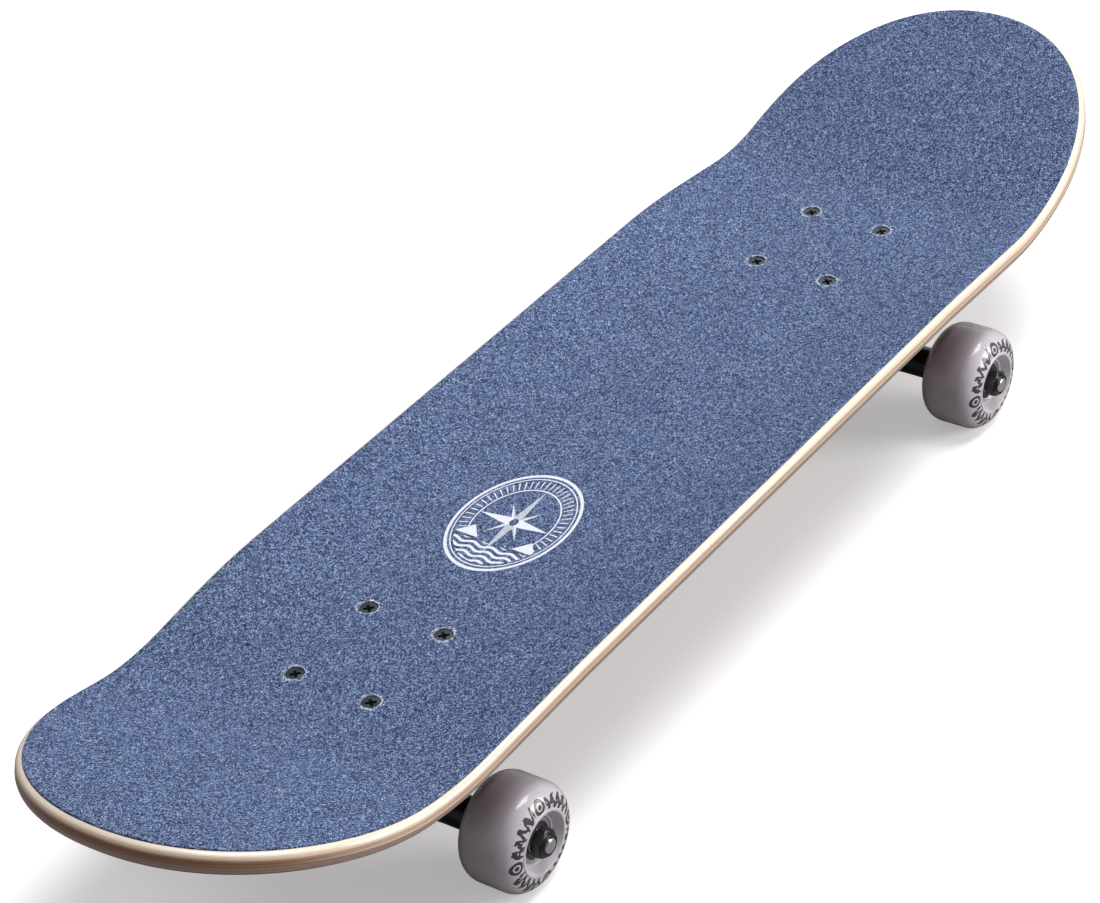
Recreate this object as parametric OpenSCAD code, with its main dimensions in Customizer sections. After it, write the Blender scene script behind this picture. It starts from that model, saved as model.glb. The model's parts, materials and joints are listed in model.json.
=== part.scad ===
// Skateboard: a seven-ply kicktail deck with two sprung trucks and four bearing wheels.
// X runs from the tail to the nose, Y to the left, Z up. The origin is on the ground,
// under the middle of the board's outline.

/* [Deck] */
// Width of the deck at its middle
deck_w = 187; // [180:0.5:200]
// Width of the deck where the nose and tail begin to round off
shoulder_w = 179.5; // [170:0.5:180]
// Thickness of the laminated deck
deck_t = 11; // [10:0.1:12]
// Radius of the edge's rounding at the top
edge_top_r = 3.4; // [3.2:0.1:4]
// Radius of the edge's rounding at the bottom
edge_bottom_r = 5.4; // [4:0.1:5.9]
// Length along the top from the middle of the wheelbase to the tip of the nose
nose_len = 390; // [375:1:400]
// Length along the top from the middle of the wheelbase to the tip of the tail
tail_len = 382.5; // [370:0.5:395]
// Length along the top from the middle to where the nose and tail begin to round off
shoulder = 271; // [265:1:275]
// Sharpness of the rounded ends, where 2 is an ellipse
end_power = 2.12; // [2:0.02:2.4]
// Length along the top from the middle to the bend of the nose
nose_bend = 234; // [234:0.5:240]
// Length along the top from the middle to the bend of the tail
tail_bend = 228; // [228:0.5:236]
// Radius of the bend of the nose
nose_bend_r = 125; // [110:1:180]
// Radius of the bend of the tail
tail_bend_r = 169; // [110:1:180]
// Angle of the nose above the flat
nose_angle = 18.3; // [15:0.1:21]
// Angle of the tail above the flat
tail_angle = 17.9; // [15:0.1:21]
// Height of the long edges above the flat band
concave = 9.2; // [6:0.1:10]
// Half-width of the flat band down the middle
flat_half = 30; // [29:0.5:34]
// Length along the top from the middle to where the concave begins to fade
fade_start = 152; // [140:1:160]
// Length along the top from the middle to where the concave has gone
fade_end = 307; // [290:1:320]

/* [Grip tape] */
// Thickness of the grip tape
grip_t = 0.8; // [0.6:0.1:1]
// Bare wood left showing round the grip tape
grip_inset = 2.7; // [2:0.1:3]

/* [Truck mounting] */
// Distance between the middles of the two bolt patterns
wheelbase_middle = 384.2; // [380:0.1:384.2]
// Bolt spacing along the board
bolt_dx = 53.98; // [53.9:0.01:54]
// Bolt spacing across the board
bolt_dy = 41.28; // [41.2:0.01:41.4]
// Diameter of the mounting bolts
bolt_d = 4.8; // [4.7:0.05:4.9]
// Diameter of the countersunk bolt heads
bolt_head_d = 9.5; // [9:0.1:9.8]
// Length of the mounting bolts
bolt_len = 25.4; // [25.4:0.1:28]

/* [Truck] */
// Height from the axle to the underside of the deck
truck_h = 48.9; // [48:0.1:52]
// Distance of the axle outboard of the bolt pattern's middle
axle_x = 11; // [10:0.1:12]
// Width of the hanger between the wheels
hanger_w = 132; // [131:0.5:134]
// Diameter of the steel axle
axle_d = 7.9; // [7.88:0.01:7.94]
// Length of the steel axle
axle_len = 198; // [197:0.5:200]
// Lean of the kingpin from upright
kingpin_lean = 25; // [24:0.5:26]
// Diameter of the kingpin
kingpin_d = 9.5; // [9.4:0.05:9.6]

/* [Wheels] */
// Diameter of the wheels
wheel_d = 52; // [50:0.5:54]
// Width of the wheels
wheel_w = 32; // [31:0.5:33]
// Radius of the wheel's rounded edge
wheel_edge_r = 10; // [8:0.5:11]
// Radius of the open recess at the wheel's face
recess_r = 14.4; // [13.5:0.1:15]
// Outside diameter of the bearings
bearing_od = 22; // [22:0.01:22.01]
// Width of a bearing
bearing_w = 7; // [6.9:0.1:7]
// Distance between the two bearings of a wheel
spacer_w = 10; // [9.9:0.1:10]
// Thickness of the washers beside the bearings
speed_washer_t = 1; // [0.9:0.1:1]

/* [Hidden] */
ENDS = ["front", "rear"];
CORNERS = ["front_left", "front_right", "rear_left", "rear_right"];
TRUCK_PIECES = [
    "baseplate", "pivot_cup", "kingpin", "kingpin_nut", "upper_washer", "lower_washer",
    "barrel_bushing", "cone_bushing", "hanger", "axle", "mounting_bolts", "lock_nuts"
];
WHEEL_PIECES = [
    "wheel", "bearing_outer_rings", "bearing_inner_rings", "bearing_balls",
    "bearing_shields", "bearing_spacer", "speed_washers", "axle_nut"
];
$fn = 96;

// Heights above the ground
axle_z = wheel_d / 2;
deck_bottom = axle_z + truck_h;
deck_top = deck_bottom + deck_t;

// Deck mesh: steps along the straight part and round each end, rings across the top
steps_along = 60;
steps_end = 12;
edge_steps = 4;
stations = steps_along + 1 + 2 * (steps_end - 1);
ring_n = 2 * stations + 2;
ring_shares = [0, 0.25, 0.5, 0.75];
glue_t = 0.02;
narrow_from = 165;
narrow_to = 290;
concave_power = 1.6;
spine_share = 0.35;

// Bushings, along the kingpin, measured from the middle of the hanger's ring
ring_t = 8;
seat_z = 2.5;
barrel_len = 13.5;
cone_len = 11;
washer_t = 1.5;
fit_gap = 0.05;
barrel_top = seat_z + barrel_len;
boss_z = barrel_top + washer_t + fit_gap;
cone_bottom = -seat_z - cone_len;
nut_top = cone_bottom - washer_t - fit_gap;
kingpin_nut_h = 8.5;
kingpin_end = nut_top - kingpin_nut_h - 1.5;
bushing_r = 12;
bushing_bore_r = 5;
washer_r = 12.5;

// Truck side view: X outboard of the bolt pattern's middle, Z below the deck's underside
ring_mid = [-13, -35];
pivot_mid = [33, -14];
pivot_run = pivot_mid - ring_mid;
steer_rise = atan(pivot_run.y / pivot_run.x);
nose_r = 5.7;
cup_wall = 2.6;
cup_mouth = 3.5;
housing_r = 11;
plate_l = 80;
plate_w = 56;
plate_mid = 3;
plate_t = 5;
boss_r = 13;
kingpin_head_r = 8.2;
kingpin_head_h = 6;
kingpin_head_z = 27;

// Countersunk bolt heads and their locking nuts
bolt_sink = 2.7;
bolt_proud = 0.2;
bolt_gap = 0.2;
lock_nut_h = 3.4;
lock_nut_collar_h = 2.2;

// Wheel stack, measured outward from the middle of the truck
hanger_end = hanger_w / 2;
inner_bearing = hanger_end + speed_washer_t;
outer_bearing = inner_bearing + bearing_w + spacer_w;
stack_end = outer_bearing + bearing_w;
wheel_mid = inner_bearing + bearing_w + spacer_w / 2;
wheel_in = wheel_mid - wheel_w / 2;
wheel_out = wheel_mid + wheel_w / 2;
wheel_r = wheel_d / 2;
bearing_r = bearing_od / 2;
bore_r = 4;
ball_r = 1.984;
ball_ring_r = 7.5;
balls = 7;
race_gap = 0.06;
inner_land_r = 6;
outer_land_r = 9;
nut_h = 4.6;
nut_collar_h = 1.7;

// ---- Deck surface -------------------------------------------------------------

// [x, z, angle] on a kicked-up centreline at length s from the middle
function kicked(s, start, r, angle) =
    let (arc = r * angle * PI / 180, t = min(angle, max(0, s - start) / r * 180 / PI))
    s < start ? [s, 0, 0]
    : s < start + arc ? [start + r * sin(t), r * (1 - cos(t)), t]
    : let (rest = s - start - arc)
        [start + r * sin(angle) + rest * cos(angle), r * (1 - cos(angle)) + rest * sin(angle), angle];

// The same with the tail on the negative side
function centreline(s) =
    s >= 0 ? kicked(s, nose_bend, nose_bend_r, nose_angle)
    : let (k = kicked(-s, tail_bend, tail_bend_r, tail_angle)) [-k.x, k.y, -k.z];

function smooth(u) = let (c = min(1, max(0, u))) c * c * (3 - 2 * c);

// Rise of the concave at length s and distance v from the centreline
function rise(s, v) =
    let (share = max(0, abs(v) - flat_half) / (deck_w / 2 - flat_half))
    concave * (1 - smooth((abs(s) - fade_start) / (fade_end - fade_start))) * pow(share, concave_power);

// Half-width of an outline set in from the deck's edge, before the ends round off
function half_mid(s, inset) =
    deck_w / 2 - inset
    - (deck_w - shoulder_w) / 2 * smooth((abs(s) - narrow_from) / (narrow_to - narrow_from));

function end_len(side) = side > 0 ? nose_len : tail_len;

// Share of a quarter turn round the end for a station, 0 on the straight part
function end_turn(i) =
    i < steps_end - 1 ? -90 * (steps_end - 1 - i) / steps_end
    : i > steps_end - 1 + steps_along ? 90 * (i - steps_end + 1 - steps_along) / steps_end
    : 0;

function straight_s(i) = shoulder * (2 * (i - steps_end + 1) / steps_along - 1);

// [s, half-width] of the outline at a station
function outline(i, inset) =
    let (t = end_turn(i), side = sign(t))
    t == 0 ? [straight_s(i), half_mid(straight_s(i), inset)]
    : let (s = shoulder + (end_len(side) - inset - shoulder) * pow(abs(sin(t)), 2 / end_power))
        [side * s, half_mid(s, inset) * pow(cos(t), 2 / end_power)];

// Place on the centreline that a station's points fan out from
function spine_s(i) =
    let (t = end_turn(i), side = sign(t))
    t == 0 ? straight_s(i)
    : side * (shoulder + spine_share * (end_len(side) - shoulder) * abs(sin(t)));

// Points run from the tail's tip along the right edge to the nose's tip and back on the left
function station_of(k) =
    k == 0 ? 0 : k <= stations ? k - 1 : k == stations + 1 ? stations - 1 : 2 * stations + 1 - k;

function edge_point(k, inset) =
    k == 0 ? [-(tail_len - inset), 0]
    : k == stations + 1 ? [nose_len - inset, 0]
    : let (e = outline(station_of(k), inset)) k <= stations ? [e.x, -e.y] : e;

// A point in space from a length, a distance across and a depth below the deck's top
function on_board(s, v, depth) =
    let (c = centreline(s), up = rise(s, v) - depth)
    [board_x + c.x - sin(c.z) * up, v, deck_top + c.y + cos(c.z) * up];

// A ring is [share of the way out from the flat band, inset, depth]
function ring_point(k, ring) =
    let (
        e = edge_point(k, ring.y),
        from = spine_s(station_of(k)),
        flat = flat_half / half_mid(min(abs(e.x), shoulder), ring.y),
        t = flat + (1 - flat) * ring.x
    )
    on_board(from + (e.x - from) * t, e.y * t, ring.z);

// Edge of the deck as [inset, depth], rounded top and bottom
function rounding(a, r) = [r * (1 - sin(a)), r * (1 - cos(a))];
deck_edge = [
    for (a = [0:90 / edge_steps:90]) rounding(a, edge_top_r),
    for (a = [90:-90 / edge_steps:0])
        let (e = rounding(a, edge_bottom_r)) [e.x, deck_t - e.y]
];
grip_edge = [
    [edge_top_r, -glue_t - grip_t], [grip_inset, -glue_t - grip_t],
    [grip_inset, -glue_t], [edge_top_r, -glue_t]
];

// How far an end reaches along X, and the shift that centres the board on the origin
function reach(side) =
    let (c = centreline(side * end_len(side)), a = abs(c.z))
    max([for (e = deck_edge) abs(c.x) - e.x * cos(a) + e.y * sin(a)]);
board_x = (reach(-1) - reach(1)) / 2;

// Two triangles of a quad, cut from its first corner or from its second
function quad(a, b, c, d, from_first) = from_first ? [[a, b, c], [a, c, d]] : [[b, c, d], [b, d, a]];

// A closed sheet that follows the deck, with the given edge. Its rings and their diagonals are
// the same on both sides, so that the top of one sheet matches the underside of the next.
module board_sheet(edge) {
    first = edge[0];
    last = edge[len(edge) - 1];
    rings = concat(
        [for (f = ring_shares) [f, first.x, first.y]],
        [for (e = edge) [1, e.x, e.y]],
        [for (k = [len(ring_shares) - 1:-1:0]) [ring_shares[k], last.x, last.y]]
    );
    count = len(rings);
    under = stations + count * ring_n;
    points = concat(
        [for (i = [0:stations - 1]) on_board(spine_s(i), 0, first.y)],
        [for (ring = rings) for (k = [0:ring_n - 1]) ring_point(k, ring)],
        [for (i = [0:stations - 1]) on_board(spine_s(i), 0, last.y)]
    );
    function at(ring, k) = stations + ring * ring_n + k % ring_n;
    faces = concat(
        [
            for (r = [0:count - 2]) for (k = [0:ring_n - 1])
                each quad(at(r, k), at(r, k + 1), at(r + 1, k + 1), at(r + 1, k), r < count / 2)
        ],
        [
            for (k = [0:ring_n - 1]) let (a = station_of(k), b = station_of((k + 1) % ring_n))
                each concat(
                    [[a, at(0, k + 1), at(0, k)]],
                    a == b ? [] : [[a, b, at(0, k + 1)]]
                )
        ],
        [
            for (k = [0:ring_n - 1]) let (a = station_of(k), b = station_of((k + 1) % ring_n))
                each concat(
                    [[at(count - 1, k), at(count - 1, k + 1), under + a]],
                    a == b ? [] : [[at(count - 1, k + 1), under + b, under + a]]
                )
        ]
    );
    polyhedron(points, faces, convexity = 6);
}

// ---- Placing ------------------------------------------------------------------

// A truck's frame: X outboard, Z up, on the deck's underside over the bolt pattern's middle
module at_truck(end) {
    side = end == "front" ? 1 : -1;
    translate([board_x + side * wheelbase_middle / 2, 0, deck_bottom])
        rotate([0, 0, side > 0 ? 0 : 180])
            children();
}

// The middle of the hanger's ring, Z up along the kingpin
module on_kingpin() {
    translate([ring_mid.x, 0, ring_mid.y]) rotate([0, kingpin_lean, 0]) children();
}

// The pivot, Z outboard and up along the steering axis
module on_pivot() {
    translate([pivot_mid.x, 0, pivot_mid.y]) rotate([0, 90 - steer_rise, 0]) children();
}

// The middle of the axle, Z to the left
module on_axle() {
    translate([axle_x, 0, -truck_h]) rotate([-90, 0, 0]) children();
}

// A wheel's frame: the middle of its truck's axle, Z outward through the wheel
module at_wheel(corner) {
    front = corner == "front_left" || corner == "front_right";
    left = corner == "front_left" || corner == "rear_left";
    side = front ? 1 : -1;
    translate([board_x + side * (wheelbase_middle / 2 + axle_x), 0, axle_z])
        rotate([left ? -90 : 90, 0, 0])
            children();
}

module at_bolts() {
    for (x = [-bolt_dx / 2, bolt_dx / 2]) for (y = [-bolt_dy / 2, bolt_dy / 2])
        translate([x, y, 0]) children();
}

module tube(r_out, r_in, h) {
    difference() {
        cylinder(h = h, r = r_out);
        translate([0, 0, -1]) cylinder(h = h + 2, r = r_in);
    }
}

// A hexagonal nut with a round locking collar on top
module collar_nut(across, h, collar_r, collar_h, hole_r) {
    difference() {
        union() {
            intersection() {
                cylinder(h = h, r = across / sqrt(3), $fn = 6);
                cylinder(h = h, r1 = across * 0.54, r2 = across * 0.54 + h);
                translate([0, 0, h - across])
                    cylinder(h = across, r1 = across * 0.54 + across, r2 = across * 0.54);
            }
            translate([0, 0, h - 0.5]) cylinder(h = collar_h + 0.5, r1 = collar_r + 0.5, r2 = collar_r);
        }
        translate([0, 0, -1]) cylinder(h = h + collar_h + 2, r = hole_r);
    }
}

// ---- Deck and grip ------------------------------------------------------------

module deck() {
    color("burlywood") difference() {
        board_sheet(deck_edge);
        for (end = ENDS) at_truck(end) at_bolts() {
            translate([0, 0, -5]) cylinder(h = deck_t + 10, r = bolt_d / 2 + bolt_gap);
            translate([0, 0, deck_t - bolt_sink])
                cylinder(h = bolt_sink, r1 = bolt_d / 2 + bolt_gap, r2 = bolt_head_d / 2 + bolt_gap);
        }
    }
}

module grip_tape() {
    color("steelblue") difference() {
        board_sheet(grip_edge);
        for (end = ENDS) at_truck(end) at_bolts()
            translate([0, 0, deck_t - 2]) cylinder(h = 6, r = bolt_head_d / 2 + 0.15);
    }
}

// ---- Truck --------------------------------------------------------------------

module baseplate() {
    corner_r = 9;
    color("dimgray") difference() {
        union() {
            translate([plate_mid, 0, -plate_t])
                linear_extrude(plate_t) rounded_plate(plate_l, plate_w, corner_r);
            intersection() {
                union() {
                    on_kingpin() translate([0, 0, boss_z]) cylinder(h = 30, r1 = boss_r, r2 = boss_r + 4);
                    on_pivot() translate([0, 0, -cup_mouth]) cylinder(h = cup_mouth + 6, r = housing_r);
                    translate([pivot_mid.x, 0, pivot_mid.y]) sphere(r = housing_r - 0.3);
                    translate([pivot_mid.x, 0, pivot_mid.y]) cylinder(h = 12, r = housing_r - 0.8);
                    rib([[-34, -4], [-9, -15], [8, -15], [30, -9], [30, -4]], 9);
                }
                translate([-60, -30, -60]) cube([120, 60, 60 - plate_t / 2]);
            }
        }
        at_bolts() translate([0, 0, -20]) cylinder(h = 30, r = bolt_d / 2 + bolt_gap);
        on_kingpin() cylinder(h = 60, r = kingpin_d / 2 + fit_gap);
        on_kingpin() translate([0, 0, kingpin_head_z]) cylinder(h = 30, r = kingpin_head_r + 0.3);
        on_pivot() translate([0, 0, -cup_mouth - 10])
            cylinder(h = cup_mouth + 10, r = nose_r + cup_wall + fit_gap);
        translate([pivot_mid.x, 0, pivot_mid.y]) sphere(r = nose_r + cup_wall + fit_gap);
    }
}

module rounded_plate(l, w, r) {
    square([l, w - 2 * r], center = true);
    square([l - 2 * r, w], center = true);
    for (x = [-1, 1]) for (y = [-1, 1])
        translate([x * (l / 2 - r), y * (w / 2 - r)]) circle(r = r);
}

// An upright rib along X with a side view in X and Z
module rib(side_view, thick) {
    translate([0, thick / 2, 0]) rotate([90, 0, 0]) linear_extrude(thick) polygon(side_view);
}

module pivot_cup() {
    color("gainsboro") on_pivot() rotate_extrude() difference() {
        intersection() {
            union() {
                circle(r = nose_r + cup_wall);
                translate([0, -cup_mouth]) square([nose_r + cup_wall, cup_mouth]);
            }
            translate([0, -cup_mouth]) square([20, 40]);
        }
        circle(r = nose_r + fit_gap);
        translate([-1, -cup_mouth - 1]) square([nose_r + fit_gap + 1, cup_mouth + 1]);
    }
}

module kingpin() {
    color("silver") on_kingpin() union() {
        translate([0, 0, kingpin_end + 0.8])
            cylinder(h = kingpin_head_z - kingpin_end + 0.2, r = kingpin_d / 2);
        translate([0, 0, kingpin_end]) cylinder(h = 0.8, r1 = kingpin_d / 2 - 0.8, r2 = kingpin_d / 2);
        translate([0, 0, kingpin_head_z]) cylinder(h = kingpin_head_h, r = kingpin_head_r, $fn = 6);
    }
}

module kingpin_nut() {
    color("silver") on_kingpin() translate([0, 0, nut_top]) rotate([180, 0, 0])
        collar_nut(14.3, kingpin_nut_h - 2.5, 6.2, 2.5, kingpin_d / 2 + fit_gap);
}

// A cupped bushing washer, its lip towards +Z
module cupped_washer(r) {
    lip_h = 1.6;
    lip_w = 1.1;
    rotate_extrude() difference() {
        translate([kingpin_d / 2 + 0.15, 0]) square([r - kingpin_d / 2 - 0.15, washer_t + lip_h]);
        translate([0, washer_t]) square([r - lip_w, lip_h + 1]);
    }
}

module upper_washer() {
    color("silver") on_kingpin() translate([0, 0, barrel_top + washer_t])
        rotate([180, 0, 0]) cupped_washer(washer_r + 1);
}

module lower_washer() {
    color("silver") on_kingpin() translate([0, 0, cone_bottom - washer_t]) cupped_washer(washer_r);
}

module barrel_bushing() {
    color("whitesmoke") on_kingpin() translate([0, 0, seat_z]) rotate_extrude() difference() {
        union() {
            translate([bushing_bore_r, 0]) square([bushing_r - 1 - bushing_bore_r, barrel_len]);
            translate([bushing_bore_r, 1]) square([bushing_r - bushing_bore_r, barrel_len - 2]);
            for (z = [1, barrel_len - 1]) translate([bushing_r - 1, z]) circle(r = 1);
        }
        translate([bushing_r + 4.2, barrel_len / 2]) circle(r = 5);
    }
}

module cone_bushing() {
    color("whitesmoke") on_kingpin() translate([0, 0, cone_bottom]) rotate_extrude()
        polygon([[bushing_bore_r, 0], [8.4, 0], [9.2, 0.8], [bushing_r, cone_len - 2.5],
            [bushing_r, cone_len - 0.8],
            [bushing_r - 0.8, cone_len], [bushing_bore_r, cone_len]]);
}

module hanger() {
    core_y = 15;
    arm_y = 50;
    barrel_r = 8;
    color("black") difference() {
        union() {
            // Ring round the kingpin, and the yoke that joins it to the axle
            on_kingpin() translate([0, 0, -ring_t / 2]) cylinder(h = ring_t, r = 15.5);
            hull() {
                on_kingpin() translate([0, 0, -3.4]) cylinder(h = 6.8, r = 14.8, $fn = 32);
                across_y(-core_y, core_y) cylinder(h = 2 * core_y, r = 8.6, $fn = 32);
            }
            // Neck from the axle up to the pivot nose
            hull() {
                across_y(-11, 11) cylinder(h = 22, r = 7.6, $fn = 32);
                on_pivot() translate([0, 0, -19]) cylinder(h = 8, r = 7.2, $fn = 32);
            }
            on_pivot() translate([0, 0, -14]) cylinder(h = 7, r1 = 8, r2 = nose_r);
            on_pivot() rotate_extrude() intersection() {
                union() {
                    circle(r = nose_r);
                    translate([0, -14]) square([nose_r, 14]);
                }
                translate([0, -14]) square([20, 40]);
            }
            // Arms, ridged along the top, and the barrels that carry the wheels
            for (side = [-1, 1]) hull() {
                across_y(side * core_y - 1, side * core_y + 1) cylinder(h = 2, r = 9.5, $fn = 32);
                translate([-4.5, 0, 7])
                    across_y(side * core_y - 1, side * core_y + 1) cylinder(h = 2, r = 3.5, $fn = 24);
                across_y(side * arm_y - 2, side * arm_y + 2) cylinder(h = 4, r = barrel_r - 0.4, $fn = 32);
            }
            across_y(-hanger_end, hanger_end) cylinder(h = hanger_w, r = barrel_r);
        }
        across_y(-hanger_end - 1, hanger_end + 1) cylinder(h = hanger_w + 2, r = axle_d / 2 + 0.02);
        on_kingpin() translate([0, 0, -20]) cylinder(h = 40, r = 6.6);
        on_kingpin() translate([0, 0, seat_z - fit_gap]) cylinder(h = 24, r = bushing_r + 0.5);
        on_kingpin() translate([0, 0, -seat_z + fit_gap - 24]) cylinder(h = 24, r = bushing_r + 0.5);
    }
}

// Along the axle's line from one distance across to another, Z to the left
module across_y(from, to) {
    assert(to > from);
    on_axle() translate([0, 0, from]) children();
}

module axle() {
    dome = 1.2;
    color("silver") on_axle() translate([0, 0, -axle_len / 2]) union() {
        cylinder(h = dome, r1 = axle_d / 2 - 0.9, r2 = axle_d / 2);
        translate([0, 0, dome]) cylinder(h = axle_len - 2 * dome, r = axle_d / 2);
        translate([0, 0, axle_len - dome]) cylinder(h = dome, r1 = axle_d / 2, r2 = axle_d / 2 - 0.9);
    }
}

module mounting_bolts() {
    slot_l = 5.2;
    slot_w = 1.1;
    slot_h = 1.8;
    head_top = deck_t + bolt_proud;
    color("dimgray") at_bolts() difference() {
        union() {
            translate([0, 0, head_top - bolt_len]) cylinder(h = bolt_len - 1, r = bolt_d / 2);
            translate([0, 0, head_top - bolt_sink])
                cylinder(h = bolt_sink, r1 = bolt_d / 2, r2 = bolt_head_d / 2);
        }
        for (a = [0, 90]) rotate([0, 0, a + 45])
            translate([-slot_l / 2, -slot_w / 2, head_top - slot_h]) cube([slot_l, slot_w, slot_h + 1]);
    }
}

module lock_nuts() {
    color("silver") at_bolts() translate([0, 0, -plate_t]) rotate([180, 0, 0])
        collar_nut(9.5, lock_nut_h, 4.4, lock_nut_collar_h, bolt_d / 2 + fit_gap);
}

// ---- Wheel --------------------------------------------------------------------

// Half section of the wheel, X outward from the axle and Y along it
module wheel_section() {
    r = wheel_edge_r;
    lip_r = 0.9;
    difference() {
        union() {
            translate([0, wheel_in]) square([wheel_r - r, wheel_w]);
            translate([0, wheel_in + r]) square([wheel_r, wheel_w - 2 * r]);
            for (z = [wheel_in + r, wheel_out - r]) translate([wheel_r - r, z]) circle(r = r);
            for (z = [wheel_in + 0.5, wheel_out - 0.5]) translate([recess_r + lip_r, z]) circle(r = lip_r);
        }
        translate([-1, wheel_in - 5]) square([bearing_r - 1.5 + 1, wheel_w + 10]);
        for (z = [inner_bearing, outer_bearing]) translate([0, z]) square([bearing_r + 0.02, bearing_w]);
        polygon([[0, wheel_out + 2], [recess_r + 0.9, wheel_out + 2], [recess_r, wheel_out],
            [bearing_r + 0.6, stack_end], [0, stack_end]]);
        polygon([[0, wheel_in - 2], [recess_r + 0.9, wheel_in - 2], [recess_r, wheel_in],
            [bearing_r + 0.6, inner_bearing], [0, inner_bearing]]);
    }
}

module wheel() {
    color("white") rotate_extrude($fn = 128) wheel_section();
}

// Something in the place of each bearing of a wheel, Z from the bearing's middle
module at_bearings() {
    for (z = [inner_bearing, outer_bearing]) translate([0, 0, z + bearing_w / 2]) children();
}

module race(r_in, r_out) {
    rotate_extrude() difference() {
        translate([r_in, -bearing_w / 2]) square([r_out - r_in, bearing_w]);
        translate([ball_ring_r, 0]) circle(r = ball_r + race_gap);
    }
}

module bearing_outer_rings() {
    color("silver") at_bearings() race(outer_land_r, bearing_r);
}

module bearing_inner_rings() {
    color("silver") at_bearings() race(bore_r, inner_land_r);
}

// Balls in their crown cage
module bearing_balls() {
    cage_r = [6.9, 8.1];
    cage_z = [-1.2, 2.6];
    color("silver") at_bearings() {
        for (k = [0:balls - 1]) rotate([0, 0, k * 360 / balls])
            translate([ball_ring_r, 0, 0]) sphere(r = ball_r, $fn = 32);
        difference() {
            translate([0, 0, cage_z[0]]) tube(cage_r[1], cage_r[0], cage_z[1] - cage_z[0]);
            for (k = [0:balls - 1]) rotate([0, 0, k * 360 / balls])
                translate([ball_ring_r, 0, 0]) sphere(r = ball_r + race_gap, $fn = 32);
        }
    }
}

module bearing_shields() {
    shield_z = 3;
    shield_t = 0.3;
    color("black") at_bearings() for (z = [-shield_z - shield_t, shield_z]) translate([0, 0, z])
        tube(outer_land_r - 0.01, inner_land_r + 0.15, shield_t);
}

module bearing_spacer() {
    color("silver") translate([0, 0, inner_bearing + bearing_w]) tube(5.6, bore_r, spacer_w);
}

module speed_washers() {
    color("silver") for (z = [hanger_end, stack_end]) translate([0, 0, z]) tube(5.6, bore_r, speed_washer_t);
}

module axle_nut() {
    color("black") translate([0, 0, stack_end + speed_washer_t])
        collar_nut(12.7, nut_h, 5.4, nut_collar_h, bore_r);
}

// ---- Whole board --------------------------------------------------------------

deck();
grip_tape();

for (e = ENDS) at_truck(e) {
    baseplate();
    pivot_cup();
    kingpin();
    kingpin_nut();
    upper_washer();
    lower_washer();
    barrel_bushing();
    cone_bushing();
    hanger();
    axle();
    mounting_bolts();
    lock_nuts();
}

for (c = CORNERS) at_wheel(c) {
    wheel();
    bearing_outer_rings();
    bearing_inner_rings();
    bearing_balls();
    bearing_shields();
    bearing_spacer();
    speed_washers();
    axle_nut();
}
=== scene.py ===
"""Skateboard: a pressed maple deck with grip tape, two sprung trucks and four bearing wheels.

Each sub-assembly is a class that models its pieces with mesh operators, dresses them and seats
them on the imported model's bodies. Profiles are in millimetres, and every mesh is in metres.
"""
import json
import logging
import math
from collections.abc import Callable, Iterator, Sequence
from contextlib import contextmanager
from dataclasses import dataclass, field
from enum import Enum

import bmesh
import bpy
import numpy as np
from mathutils import Matrix, Vector


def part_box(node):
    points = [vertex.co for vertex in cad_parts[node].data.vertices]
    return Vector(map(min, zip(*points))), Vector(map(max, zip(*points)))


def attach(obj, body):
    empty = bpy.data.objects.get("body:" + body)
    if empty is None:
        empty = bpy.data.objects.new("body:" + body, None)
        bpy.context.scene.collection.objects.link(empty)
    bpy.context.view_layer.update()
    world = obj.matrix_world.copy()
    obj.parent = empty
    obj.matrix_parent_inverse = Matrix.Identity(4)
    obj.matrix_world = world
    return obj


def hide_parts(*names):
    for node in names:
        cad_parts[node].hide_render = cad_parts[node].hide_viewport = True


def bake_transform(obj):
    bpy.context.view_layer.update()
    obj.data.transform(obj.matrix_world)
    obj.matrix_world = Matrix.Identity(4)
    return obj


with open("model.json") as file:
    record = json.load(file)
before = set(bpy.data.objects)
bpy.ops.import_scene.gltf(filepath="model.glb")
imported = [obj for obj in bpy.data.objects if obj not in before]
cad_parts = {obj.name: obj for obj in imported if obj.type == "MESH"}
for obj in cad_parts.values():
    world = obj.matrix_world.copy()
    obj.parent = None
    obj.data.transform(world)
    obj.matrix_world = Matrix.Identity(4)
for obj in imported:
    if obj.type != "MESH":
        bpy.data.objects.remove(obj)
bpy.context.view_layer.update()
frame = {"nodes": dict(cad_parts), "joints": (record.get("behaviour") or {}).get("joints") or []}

log = logging.getLogger("skateboard")
MM = 0.001
TURN = 2 * math.pi
Socket = bpy.types.NodeSocket
Shape = bpy.types.Object
Point = tuple[float, float]


class End(Enum):
    """The two ends of the board, with the side of the middle that each lies on."""

    FRONT = 1
    REAR = -1

    @property
    def word(self) -> str:
        """Name of the end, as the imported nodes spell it."""
        return self.name.lower()


class Side(Enum):
    """The two sides of the board, with the sign of their Y."""

    LEFT = 1
    RIGHT = -1


class Slot(Enum):
    """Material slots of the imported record."""

    WOOD = "deck_wood"
    GRIP = "grip"
    CASTING = "black_casting"
    BUSHING = "bushing_urethane"
    ZINC = "zinc_steel"
    BLACK_STEEL = "black_steel"
    WHEEL = "wheel_urethane"
    BEARING = "bearing_steel"
    SEAL = "bearing_seal"


# ---- Modelling by operators ---------------------------------------------------


def deselect() -> None:
    """Leaves edit mode and clears the selection."""
    if bpy.context.object is not None and bpy.context.object.mode != "OBJECT":
        bpy.ops.object.mode_set(mode="OBJECT")
    bpy.ops.object.select_all(action="DESELECT")


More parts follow.
